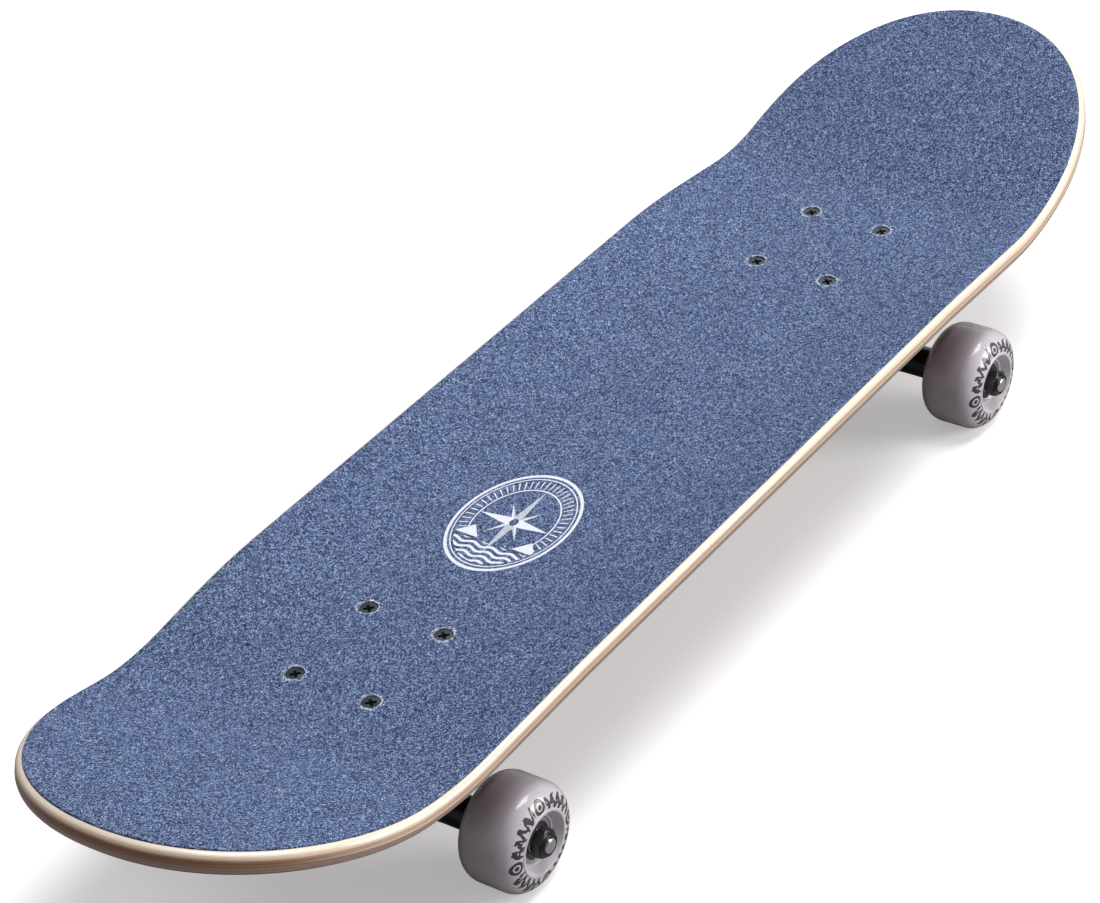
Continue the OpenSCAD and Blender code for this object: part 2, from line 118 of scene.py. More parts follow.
def activate(*shapes: Shape) -> None:
    """Selects these shapes alone and makes the first one active.

    Args:
        shapes: The shapes to select, the active one first.
    """
    deselect()
    for shape in shapes:
        shape.select_set(True)
    bpy.context.view_layer.objects.active = shapes[0]


@contextmanager
def editing(shape: Shape) -> Iterator[None]:
    """Edit mode on one shape, with all of it selected.

    Args:
        shape: The shape to edit.

    Yields:
        Nothing. The mode goes back to object mode afterwards.
    """
    activate(shape)
    bpy.ops.object.mode_set(mode="EDIT")
    bpy.ops.mesh.select_mode(type="VERT")
    bpy.ops.mesh.select_all(action="SELECT")
    yield
    bpy.ops.object.mode_set(mode="OBJECT")


def pick_edges(shape: Shape, wanted: Callable[[Vector, Vector], bool]) -> None:
    """Selects the edges of a shape in edit mode whose two ends pass a test.

    Args:
        shape: The shape being edited.
        wanted: Test of an edge's two ends.
    """
    bpy.ops.mesh.select_mode(type="EDGE")
    bpy.ops.mesh.select_all(action="DESELECT")
    mesh = bmesh.from_edit_mesh(shape.data)
    for edge in mesh.edges:
        edge.select = wanted(edge.verts[0].co, edge.verts[1].co)
    mesh.select_flush_mode()
    bmesh.update_edit_mesh(shape.data)


def pick_faces(shape: Shape, wanted: Callable[[Vector, Vector], bool]) -> None:
    """Selects the faces of a shape in edit mode by their middle and normal.

    Args:
        shape: The shape being edited.
        wanted: Test of a face's middle and normal.
    """
    bpy.ops.mesh.select_mode(type="FACE")
    bpy.ops.mesh.select_all(action="DESELECT")
    mesh = bmesh.from_edit_mesh(shape.data)
    for face in mesh.faces:
        face.select = wanted(face.calc_center_median(), face.normal)
    mesh.select_flush_mode()
    bmesh.update_edit_mesh(shape.data)


def tidy_mesh(shape: Shape, gap: float = 1e-6) -> None:
    """Merges doubles, removes loose edges and turns every face outwards.

    Args:
        shape: The shape to tidy.
        gap: Largest distance between points that are merged.
    """
    with editing(shape):
        bpy.ops.mesh.remove_doubles(threshold=gap)
        bpy.ops.mesh.delete_loose()
        bpy.ops.mesh.select_all(action="SELECT")
        bpy.ops.mesh.normals_make_consistent(inside=False)


def apply_modifier(shape: Shape, kind: str, **settings: object) -> None:
    """Adds one modifier with its settings and applies it.

    Args:
        shape: The shape that is changed.
        kind: Type of the modifier.
        settings: The modifier's settings by name.
    """
    activate(shape)
    modifier = shape.modifiers.new(kind.title(), kind)
    for key, value in settings.items():
        setattr(modifier, key, value)
    bpy.ops.object.modifier_apply(modifier=modifier.name)


def carve(shape: Shape, tool: Shape, operation: str = "DIFFERENCE") -> None:
    """Combines a shape with a tool shape, and removes the tool."""
    apply_modifier(shape, "BOOLEAN", object=tool, operation=operation, solver="EXACT")
    bpy.data.objects.remove(tool)


def join(shapes: Sequence[Shape]) -> Shape:
    """Joins shapes into the first one, which is returned.

    Args:
        shapes: The shapes, the one that is kept first.

    Returns:
        The first shape, now holding them all.
    """
    activate(*shapes)
    bpy.ops.object.join()
    return shapes[0]


def smooth(shape: Shape, angle: float = 35) -> None:
    """Shades a shape smooth, apart from edges sharper than an angle in degrees."""
    activate(shape)
    bpy.ops.object.shade_smooth_by_angle(angle=math.radians(angle))


def duplicate(shape: Shape, name: str, matrix: Matrix) -> Shape:
    """A copy of a shape with its own mesh, moved by a matrix.

    Args:
        shape: The shape to copy.
        name: Name of the copy.
        matrix: Moves the copy's points.

    Returns:
        The copy, linked to the scene.
    """
    made = shape.copy()
    made.data = shape.data.copy()
    made.data.transform(matrix)
    made.name = name
    bpy.context.scene.collection.objects.link(made)
    return made


def points_of(shape: Shape) -> np.ndarray:
    """The points of a mesh as an array with a row for each.

    Args:
        shape: The shape to read.

    Returns:
        X, Y and Z of each point, in a row of their own.
    """
    flat = np.empty(len(shape.data.vertices) * 3)
    shape.data.vertices.foreach_get("co", flat)
    return flat.reshape(-1, 3)


def set_points(shape: Shape, points: np.ndarray) -> None:
    """Moves the points of a mesh to the rows of an array."""
    shape.data.vertices.foreach_set("co", points.reshape(-1))
    shape.data.update()


def remember(shape: Shape, name: str, values: np.ndarray) -> None:
    """Stores a vector on each point, for a material to read."""
    attribute = shape.data.attributes.new(name, "FLOAT_VECTOR", "POINT")
    attribute.data.foreach_set("vector", values.astype(np.float32).reshape(-1))


@dataclass(frozen=True)
class Corner:
    """A corner of a half section, in millimetres, with the radius it is rounded to."""

    r: float
    z: float
    radius: float = 0.0


def rounded(corners: Sequence[Corner], steps: int = 4) -> list[Point]:
    """Points of a closed outline whose corners are rounded.

    Args:
        corners: The corners in order.
        steps: Steps along each rounding.

    Returns:
        The outline's points, in millimetres.
    """
    points: list[Point] = []
    for index, corner in enumerate(corners):
        if corner.radius == 0:
            points.append((corner.r, corner.z))
            continue
        here = Vector((corner.r, corner.z))
        before, after = corners[index - 1], corners[(index + 1) % len(corners)]
        to_before = (Vector((before.r, before.z)) - here).normalized()
        to_after = (Vector((after.r, after.z)) - here).normalized()
        half = to_before.angle(to_after) / 2
        reach = corner.radius / math.tan(half)
        middle = here + (to_before + to_after).normalized() * corner.radius / math.sin(half)
        start, end = here + to_before * reach - middle, here + to_after * reach - middle
        for step in range(steps + 1):
            spoke = start.slerp(end, step / steps).normalized() * corner.radius
            points.append(tuple(middle + spoke))
    return points


def outline_shape(name: str, points: Sequence[Point], filled: bool) -> Shape:
    """A ring of points in the XY plane, made from a circle.

    Args:
        name: Name of the shape.
        points: X and Y of each point, in metres.
        filled: Whether a face fills the ring.

    Returns:
        The flat shape.
    """
    deselect()
    bpy.ops.mesh.primitive_circle_add(
        vertices=len(points), radius=1, fill_type="NGON" if filled else "NOTHING"
    )
    shape = bpy.context.object
    shape.name = name
    for vertex, (x, y) in zip(shape.data.vertices, points):
        vertex.co = (x, y, 0)
    return shape


def turned(name: str, corners: Sequence[Corner], steps: int = 64, arc_steps: int = 4) -> Shape:
    """Spins a closed half section about the Z axis.

    Args:
        name: Name of the shape.
        corners: The half section, X outward from the axis, in millimetres.
        steps: Steps round the axis.
        arc_steps: Steps along each rounded corner.

    Returns:
        A closed solid of revolution.
    """
    section = [(r * MM, z * MM) for r, z in rounded(corners, arc_steps)]
    shape = outline_shape(name, section, filled=False)
    for vertex in shape.data.vertices:
        vertex.co = (vertex.co.x, 0, vertex.co.y)
    with editing(shape):
        bpy.ops.mesh.spin(steps=steps, angle=TURN, center=(0, 0, 0), axis=(0, 0, 1))
    tidy_mesh(shape)
    smooth(shape)
    return shape


def drill(name: str, radius: float, low: float, high: float) -> Shape:
    """A round cutter on the Z axis, in millimetres."""
    return turned(name, [Corner(0, low), Corner(radius, low), Corner(radius, high), Corner(0, high)], 48)


def shaft_rings(radius: float, low: float, high: float, step: float) -> list[Corner]:
    """Corners up a shaft's side, close enough together to carry a thread."""
    count = math.ceil((high - low) / step)
    return [Corner(radius, low + (high - low) * k / count) for k in range(1, count)]


def cut_thread(shape: Shape, radius: float, low: float, high: float, pitch: float) -> None:
    """Moves a shaft's points inwards along a helix.

    Args:
        shape: A shape with close rings round the Z axis.
        radius: Outer radius of the thread, in millimetres.
        low: Lowest Z of the thread.
        high: Highest Z of the thread.
        pitch: Rise of one turn.
    """
    points = points_of(shape) / MM
    across = np.hypot(points[:, 0], points[:, 1])
    angle = np.arctan2(points[:, 1], points[:, 0]) / TURN
    wave = np.abs((points[:, 2] / pitch - angle) % 1 * 2 - 1)
    on_side = np.abs(across - radius) < 0.02
    fade = np.clip(np.minimum(points[:, 2] - low, high - points[:, 2]) / pitch, 0, 1)
    scale = 1 - on_side * wave * fade * 0.6 * pitch / radius
    points[:, :2] *= scale[:, None]
    set_points(shape, points * MM)


# ---- Materials ----------------------------------------------------------------


class Graph:
    """Short ways to add and join the nodes of one tree."""

    def __init__(self, tree: bpy.types.NodeTree) -> None:
        """Keeps the tree that nodes are added to."""
        self.tree = tree

    def feed(self, socket: Socket, value: object) -> None:
        """Links another socket to this one, or sets its value.

        Args:
            socket: The socket to feed.
            value: A socket to link, or a plain value.
        """
        if isinstance(value, bpy.types.NodeSocket):
            self.tree.links.new(value, socket)
        else:
            socket.default_value = value

    def add(self, kind: str, inputs: dict | None = None, **settings: object) -> bpy.types.Node:
        """Adds a node with its settings, and feeds its inputs by name or number.

        Args:
            kind: Type of the node.
            inputs: What feeds each input, by its name or number.
            settings: The node's own properties.

        Returns:
            The new node.
        """
        node = self.tree.nodes.new(kind)
        for key, value in settings.items():
            setattr(node, key, value)
        for key, value in (inputs or {}).items():
            self.feed(node.inputs[key], value)
        return node

    def math(self, operation: str, *values: object, clamp: bool = False) -> Socket:
        """The result of one Math node.

        Args:
            operation: Name of the operation.
            values: What feeds each input in turn.
            clamp: Whether the result is kept from 0 to 1.

        Returns:
            The result's socket.
        """
        node = self.add("ShaderNodeMath", dict(enumerate(values)), operation=operation)
        node.use_clamp = clamp
        return node.outputs[0]

    def every(self, *masks: object) -> Socket:
        """The product of several masks.

        Args:
            masks: The masks to multiply.

        Returns:
            Their product.
        """
        total = masks[0]
        for mask in masks[1:]:
            total = self.math("MULTIPLY", total, mask)
        return total

    def either(self, *masks: object) -> Socket:
        """The largest of several masks.

        Args:
            masks: The masks to compare.

        Returns:
            The largest of them at each place.
        """
        most = masks[0]
        for mask in masks[1:]:
            most = self.math("MAXIMUM", most, mask)
        return most

    def more(self, value: object, limit: object) -> Socket:
        """1 where a value is over a limit."""
        return self.math("GREATER_THAN", value, limit)

    def less(self, value: object, limit: object) -> Socket:
        """1 where a value is under a limit."""
        return self.math("LESS_THAN", value, limit)

    def apart(self, value: object, middle: object) -> Socket:
        """How far a value lies from a middle."""
        return self.math("ABSOLUTE", self.math("SUBTRACT", value, middle))

    def line(self, value: Socket, middle: float, half: float) -> Socket:
        """A soft-edged line, 1 where a value lies within half of its middle."""
        return self.math("SUBTRACT", 1.0, self.steps(self.apart(value, middle), half * 0.75, half * 1.25))

    def radius(self, x: Socket, y: Socket) -> Socket:
        """The distance of a flat place from its origin."""
        squares = self.math("MULTIPLY_ADD", x, x, self.math("MULTIPLY", y, y))
        return self.math("SQRT", squares)

    def sway(self, value: Socket, half: float) -> Socket:
        """A triangular wave that rises to half and falls again."""
        return self.math("PINGPONG", self.math("ADD", value, TURN), half)

    def vector(self, operation: str, *values: object) -> bpy.types.Node:
        """A Vector Math node."""
        return self.add("ShaderNodeVectorMath", dict(enumerate(values)), operation=operation)

    def scaled(self, vector: Socket, size: Sequence[float], move: Sequence[float] = (0, 0, 0)) -> Socket:
        """A pattern's coordinates, stretched and moved."""
        inputs = {"Vector": vector, "Scale": size, "Location": move}
        return self.add("ShaderNodeMapping", inputs).outputs[0]

    def split(self, vector: Socket) -> list[Socket]:
        """The three parts of a vector."""
        return list(self.add("ShaderNodeSeparateXYZ", {0: vector}).outputs)

    def noise(self, vector: Socket, scale: float, detail: float = 2, rough: float = 0.5) -> Socket:
        """Smooth noise from 0 to 1."""
        inputs = {"Vector": vector, "Scale": scale, "Detail": detail, "Roughness": rough}
        return self.add("ShaderNodeTexNoise", inputs).outputs[0]

    def steps(self, value: Socket, low: float, high: float, smooth_step: bool = True) -> Socket:
        """A value's rise from 0 at low to 1 at high.

        Args:
            value: The value to test.
            low: Where the rise starts.
            high: Where the rise ends.
            smooth_step: Whether the rise is eased, not straight.

        Returns:
            A value from 0 to 1.
        """
        inputs = {"Value": value, "From Min": low, "From Max": high}
        kind = "SMOOTHSTEP" if smooth_step else "LINEAR"
        return self.add("ShaderNodeMapRange", inputs, interpolation_type=kind).outputs[0]

    def span(self, value: Socket, low: object, high: object) -> Socket:
        """A value from 0 to 1 stretched to run from low to high."""
        inputs = {"Value": value, "To Min": low, "To Max": high}
        return self.add("ShaderNodeMapRange", inputs).outputs[0]

    def mix(self, share: object, first: object, second: object, blend: str = "MIX") -> Socket:
        """One colour mixed with another.

        Args:
            share: How much of the second colour shows.
            first: The colour below.
            second: The colour above.
            blend: How the two combine.

        Returns:
            The mixed colour.
        """
        node = self.add("ShaderNodeMix", data_type="RGBA", blend_type=blend)
        for socket, value in ((node.inputs[0], share), (node.inputs[6], first), (node.inputs[7], second)):
            self.feed(socket, value)
        return node.outputs[2]

    def ramp(self, value: Socket, stops: Sequence[tuple[float, tuple]], kind: str = "LINEAR") -> Socket:
        """A colour looked up from stops of place and colour.

        Args:
            value: Where to look, from 0 to 1.
            stops: Place and colour of each stop.
            kind: How the colour runs between stops.

        Returns:
            The colour found.
        """
        node = self.add("ShaderNodeValToRGB", {0: value})
        node.color_ramp.interpolation = kind
        for _ in stops[2:]:
            node.color_ramp.elements.new(0.5)
        for element, (place, _) in zip(node.color_ramp.elements, stops):
            element.position = place
        for element, (_, colour) in zip(node.color_ramp.elements, stops):
            element.color = colour
        return node.outputs[0]

    def bump(self, height: Socket, strength: float, depth: float, normal: Socket | None = None) -> Socket:
        """A bumped normal, with the depth in metres.

        Args:
            height: The height pattern.
            strength: How strongly it shows.
            depth: Depth of the relief, in metres.
            normal: A normal to start from.

        Returns:
            The bumped normal.
        """
        inputs = {"Height": height, "Strength": strength, "Distance": depth}
        if normal is not None:
            inputs["Normal"] = normal
        return self.add("ShaderNodeBump", inputs).outputs[0]

    def use(self, group: bpy.types.NodeTree, **inputs: object) -> bpy.types.Node:
        """Places a shared group and feeds its inputs.

        Args:
            group: The shared group.
            inputs: What feeds each input, with underscores for spaces.

        Returns:
            The group's node.
        """
        node = self.tree.nodes.new("ShaderNodeGroup")
        node.node_tree = group
        for key, value in inputs.items():
            self.feed(node.inputs[key.replace("_", " ").title()], value)
        return node


def rgb(red: int, green: int, blue: int) -> tuple[float, float, float, float]:
    """A linear colour from a screen colour of 0 to 255.

    Args:
        red: Red part.
        green: Green part.
        blue: Blue part.

    Returns:
        The linear colour, with an alpha of 1.
    """
    parts = [c / 255 for c in (red, green, blue)]
    linear = [c / 12.92 if c <= 0.04045 else ((c + 0.055) / 1.055) ** 2.4 for c in parts]
    return (*linear, 1.0)


def new_group(name: str, inputs: dict[str, object], outputs: Sequence[str]) -> tuple[Graph, dict, Callable]:
    """Starts a shared shader group.

    Args:
        name: Name of the group.
        inputs: Each input's name with its starting value, or None for a vector.
        outputs: Names of the outputs, which are all masks or values.

    Returns:
        The graph, the input sockets by name, and a function that feeds an output.
    """
    tree = bpy.data.node_groups.new(name, "ShaderNodeTree")
    for key, value in inputs.items():
        kind = "NodeSocketVector" if value is None else "NodeSocketFloat"
        socket = tree.interface.new_socket(name=key, in_out="INPUT", socket_type=kind)
        if value is not None:
            socket.default_value = value
    for key in outputs:
        tree.interface.new_socket(name=key, in_out="OUTPUT", socket_type="NodeSocketFloat")
    graph = Graph(tree)
    start, end = graph.add("NodeGroupInput"), graph.add("NodeGroupOutput")
    sockets = {key: start.outputs[key] for key in inputs}
    return graph, sockets, lambda key, value: graph.feed(end.inputs[key], value)


class Effects:
    """Shader groups that several finishes share, each built once."""

    def __init__(self) -> None:
        """Builds every group."""
        self.edge_wear = self._edge_wear()
        self.fibres = self._fibres()
        self.grit = self._grit()
        self.dust = self._dust()
        self.turning = self._turning()
        self.casting = self._casting()

    @staticmethod
    def _edge_wear() -> bpy.types.NodeTree:
        """Edges rubbed bare: 1 on worn edges and 0 elsewhere.

        Returns:
            The group.
        """
        graph, inputs, put = new_group(
            "edge_wear", {"Vector": None, "Width": 0.0004, "Amount": 0.5, "Break": 900.0}, ["Mask"]
        )
        soft = graph.add("ShaderNodeBevel", {"Radius": inputs["Width"]}, samples=4)
        hard = graph.add("ShaderNodeNewGeometry")
        dot = graph.vector("DOT_PRODUCT", soft.outputs[0], hard.outputs["Normal"]).outputs["Value"]
        edge = graph.math("MULTIPLY", graph.math("SUBTRACT", 1.0, dot), 9.0, clamp=True)
        patch = graph.add(
            "ShaderNodeTexNoise", {"Vector": inputs["Vector"], "Scale": inputs["Break"], "Detail": 3.0}
        ).outputs[0]
        worn = graph.math("MULTIPLY", edge, graph.steps(patch, 0.35, 0.65))
        put("Mask", graph.math("MULTIPLY", worn, inputs["Amount"], clamp=True))
        return graph.tree

    @staticmethod
    def _fibres() -> bpy.types.NodeTree:
        """Wood grain along X: broad figure, fine fibres and short dark pores.

        Returns:
            The group.
        """
        graph, inputs, put = new_group(
            "fibres", {"Vector": None, "Twist": 0.006}, ["Figure", "Fibre", "Pore"]
        )
        wander = graph.noise(graph.scaled(inputs["Vector"], (3, 14, 14)), 1.0, 2)
        drift = graph.math("MULTIPLY", graph.math("SUBTRACT", wander, 0.5), inputs["Twist"])
        side = graph.add("ShaderNodeCombineXYZ", {1: drift}).outputs[0]
        bent = graph.vector("ADD", inputs["Vector"], side).outputs[0]
        put("Figure", graph.noise(graph.scaled(bent, (5, 90, 90)), 1.0, 4, 0.6))
        put("Fibre", graph.noise(graph.scaled(bent, (35, 1500, 1500)), 1.0, 3, 0.6))
        pores = graph.add(
            "ShaderNodeTexVoronoi", {"Vector": graph.scaled(bent, (160, 1900, 1900)), "Scale": 1.0}
        ).outputs[0]
        put("Pore", graph.math("SUBTRACT", 1.0, graph.steps(pores, 0.05, 0.24)))
        return graph.tree

    @staticmethod
    def _grit() -> bpy.types.NodeTree:
        """Packed abrasive grains: each grain's own shade, its height and rare bright faces.

        Returns:
            The group.
        """
        graph, inputs, put = new_group(
            "grit", {"Vector": None, "Grain": 1500.0}, ["Shade", "Height", "Spark"]
        )
        coarse = graph.add("ShaderNodeTexVoronoi", {"Vector": inputs["Vector"], "Scale": inputs["Grain"]})
        twice = graph.math("MULTIPLY", inputs["Grain"], 2.1)
        fine = graph.add("ShaderNodeTexVoronoi", {"Vector": inputs["Vector"], "Scale": twice})
        coarse_shade = graph.split(coarse.outputs["Color"])[0]
        fine_shade = graph.split(fine.outputs["Color"])[1]
        clump = graph.add(
            "ShaderNodeTexNoise",
            {
                "Vector": inputs["Vector"],
                "Scale": graph.math("MULTIPLY", inputs["Grain"], 0.33),
                "Detail": 1.0,
            },
        ).outputs[0]
        mixed = graph.math("MULTIPLY_ADD", fine_shade, 0.4, graph.math("MULTIPLY", coarse_shade, 0.58))
        put("Shade", graph.math("ADD", mixed, graph.math("MULTIPLY_ADD", clump, 0.3, -0.15), clamp=True))
        hump = graph.math("SUBTRACT", 1.0, coarse.outputs["Distance"])
        put("Height", graph.math("MULTIPLY_ADD", fine_shade, 0.3, hump))
        put("Spark", graph.steps(graph.split(coarse.outputs["Color"])[2], 0.9, 0.97))
        return graph.tree

    @staticmethod
    def _dust() -> bpy.types.NodeTree:
        """Faint smears and specks that change a surface's roughness.

        Returns:
            The group.
        """
        graph, inputs, put = new_group("dust", {"Vector": None, "Scale": 60.0}, ["Smear", "Speck"])
        smear = graph.add(
            "ShaderNodeTexNoise", {"Vector": inputs["Vector"], "Scale": inputs["Scale"], "Detail": 5.0}
        ).outputs[0]
        put("Smear", graph.steps(smear, 0.35, 0.7))
        close = graph.math("MULTIPLY", inputs["Scale"], 22.0)
        speck = graph.add("ShaderNodeTexVoronoi", {"Vector": inputs["Vector"], "Scale": close}).outputs[0]
        put("Speck", graph.math("SUBTRACT", 1.0, graph.steps(speck, 0.04, 0.16)))
        return graph.tree

    @staticmethod
    def _turning() -> bpy.types.NodeTree:
        """Fine rings that a lathe leaves round a piece's own axis.

        Returns:
            The group.
        """
        graph, inputs, put = new_group("turning", {"Vector": None, "Pitch": 9000.0}, ["Ring"])
        x, y, z = graph.split(inputs["Vector"])
        place = graph.add("ShaderNodeCombineXYZ", {0: graph.radius(x, y), 2: z}).outputs[0]
        put("Ring", graph.add(
            "ShaderNodeTexNoise", {"Vector": place, "Scale": inputs["Pitch"], "Detail": 2.0}
        ).outputs[0])
        return graph.tree

    @staticmethod
    def _casting() -> bpy.types.NodeTree:
        """The pebbled skin of a painted casting.

        Returns:
            The group.
        """
        graph, inputs, put = new_group("casting", {"Vector": None, "Scale": 700.0}, ["Height"])
        broad = graph.add(
            "ShaderNodeTexNoise", {"Vector": inputs["Vector"], "Scale": inputs["Scale"], "Detail": 2.0}
        ).outputs[0]
        fine = graph.add(
            "ShaderNodeTexNoise",
            {
                "Vector": inputs["Vector"],
                "Scale": graph.math("MULTIPLY", inputs["Scale"], 4.5),
                "Detail": 2.0,
            },
        ).outputs[0]
        put("Height", graph.math("MULTIPLY_ADD", fine, 0.3, broad))
        return graph.tree


@dataclass(frozen=True)
class Finish:
    """What every finish has: a name, a slot, and plain values on its shader."""

    name: str
    slot: Slot
    constants: tuple[tuple[str, object], ...] = ()

    def start(self) -> tuple[bpy.types.Material, Graph, bpy.types.Node]:
        """A new material with its graph and its shader, which holds the plain values.

        Returns:
            The material, its graph and its shader.
        """
        material = bpy.data.materials.new(self.name)
        material.use_nodes = True
        graph = Graph(material.node_tree)
        shader = material.node_tree.nodes["Principled BSDF"]
        for key, value in self.constants:
            shader.inputs[key].default_value = value
        return material, graph, shader

    def object_place(self, graph: Graph) -> Socket:
        """The piece's own coordinates, in metres."""
        return graph.add("ShaderNodeTexCoord").outputs["Object"]

    def stored(self, graph: Graph, name: str) -> Socket:
        """A vector stored on the mesh."""
        return graph.add("ShaderNodeAttribute", attribute_name=name).outputs["Vector"]

    def build(self, effects: Effects) -> bpy.types.Material:
        """The finished material."""
        raise NotImplementedError


@dataclass(frozen=True)
class Maple(Finish):
    """Seven glued veneers under clear lacquer, with a stained bottom ply."""

    thickness: float = 0.011
    plies: int = 7

    def build(self, effects: Effects) -> bpy.types.Material:
        """Grain follows the board, each ply shows a colour at the edge that is darker towards the bottom,
        and the rear end's faces turned towards negative X carry painted shade.

        Args:
            effects: The shared shader groups.

        Returns:
            The wood.
        """
        material, graph, shader = self.start()
        board = self.stored(graph, "board")
        depth = graph.split(board)[2]
        share = graph.math("DIVIDE", depth, self.thickness)
        ply = graph.math("MULTIPLY", share, float(self.plies))
        layer = graph.math("FLOOR", ply)
        shift = graph.add("ShaderNodeCombineXYZ", {0: graph.math("MULTIPLY", layer, 0.37)}).outputs[0]
        grain = graph.use(effects.fibres, vector=graph.vector("ADD", board, shift).outputs[0])
        bands = graph.ramp(share, PLY_STOPS, "CONSTANT")
        stain = graph.math("GREATER_THAN", share, 6 / 7)
        swing = graph.span(stain, 0.2, 0.5)
        figure = graph.math(
            "MULTIPLY_ADD", graph.math("SUBTRACT", grain.outputs["Figure"], 0.5), swing, 1.0
        )
        fibre = graph.span(grain.outputs["Fibre"], 0.86, 1.12)
        tone = graph.math("MULTIPLY", figure, fibre)
        wood = graph.mix(1.0, bands, tone, "MULTIPLY")
        wood = graph.mix(graph.math("MULTIPLY", grain.outputs["Pore"], 0.35), wood, rgb(96, 62, 40))
        line = graph.math("ABSOLUTE", graph.math("SUBTRACT", graph.math("FRACT", ply), 0.5))
        glue = graph.math("MULTIPLY", graph.steps(line, 0.44, 0.49), graph.steps(share, 0.08, 0.12))
        wood = graph.mix(graph.math("MULTIPLY", glue, 0.45), wood, rgb(110, 70, 48))
        # End grain at the rear end, partly darker of itself and partly painted shade: on faces turned
        # towards negative X the middle plies are multiplied down to a deep brown.
        length = graph.split(self.stored(graph, "board"))[0]
        facing = graph.split(graph.add("ShaderNodeNewGeometry").outputs["Normal"])[0]
        shaded_end_grain = graph.math("SUBTRACT", 1.0, graph.steps(facing, -0.6, -0.12))
        core = graph.math("SUBTRACT", graph.steps(share, 0.14, 0.42), graph.steps(share, 0.5, 0.58))
        ends = graph.every(shaded_end_grain, core, graph.less(length, 0.0))
        wood = graph.mix(ends, wood, graph.mix(1.0, wood, (0.45, 0.27, 0.15, 1), "MULTIPLY"))
        graph.feed(shader.inputs["Base Color"], wood)
        dust = graph.use(effects.dust, vector=board, scale=28.0)
        graph.feed(shader.inputs["Roughness"], graph.span(dust.outputs["Smear"], 0.34, 0.5))
        relief = graph.math("SUBTRACT", grain.outputs["Fibre"], graph.math("MULTIPLY", glue, 0.8))
        graph.feed(shader.inputs["Normal"], graph.bump(relief, 0.22, 0.00012))
        return material


PLY_STOPS = (
    (0.0, rgb(236, 223, 206)),
    (1 / 7, rgb(224, 201, 178)),
    (2 / 7, rgb(197, 170, 146)),
    (3 / 7, rgb(221, 201, 180)),
    (3.6 / 7, rgb(163, 136, 120)),
    (5 / 7, rgb(174, 149, 136)),
    (6 / 7, rgb(136, 42, 46)),
)


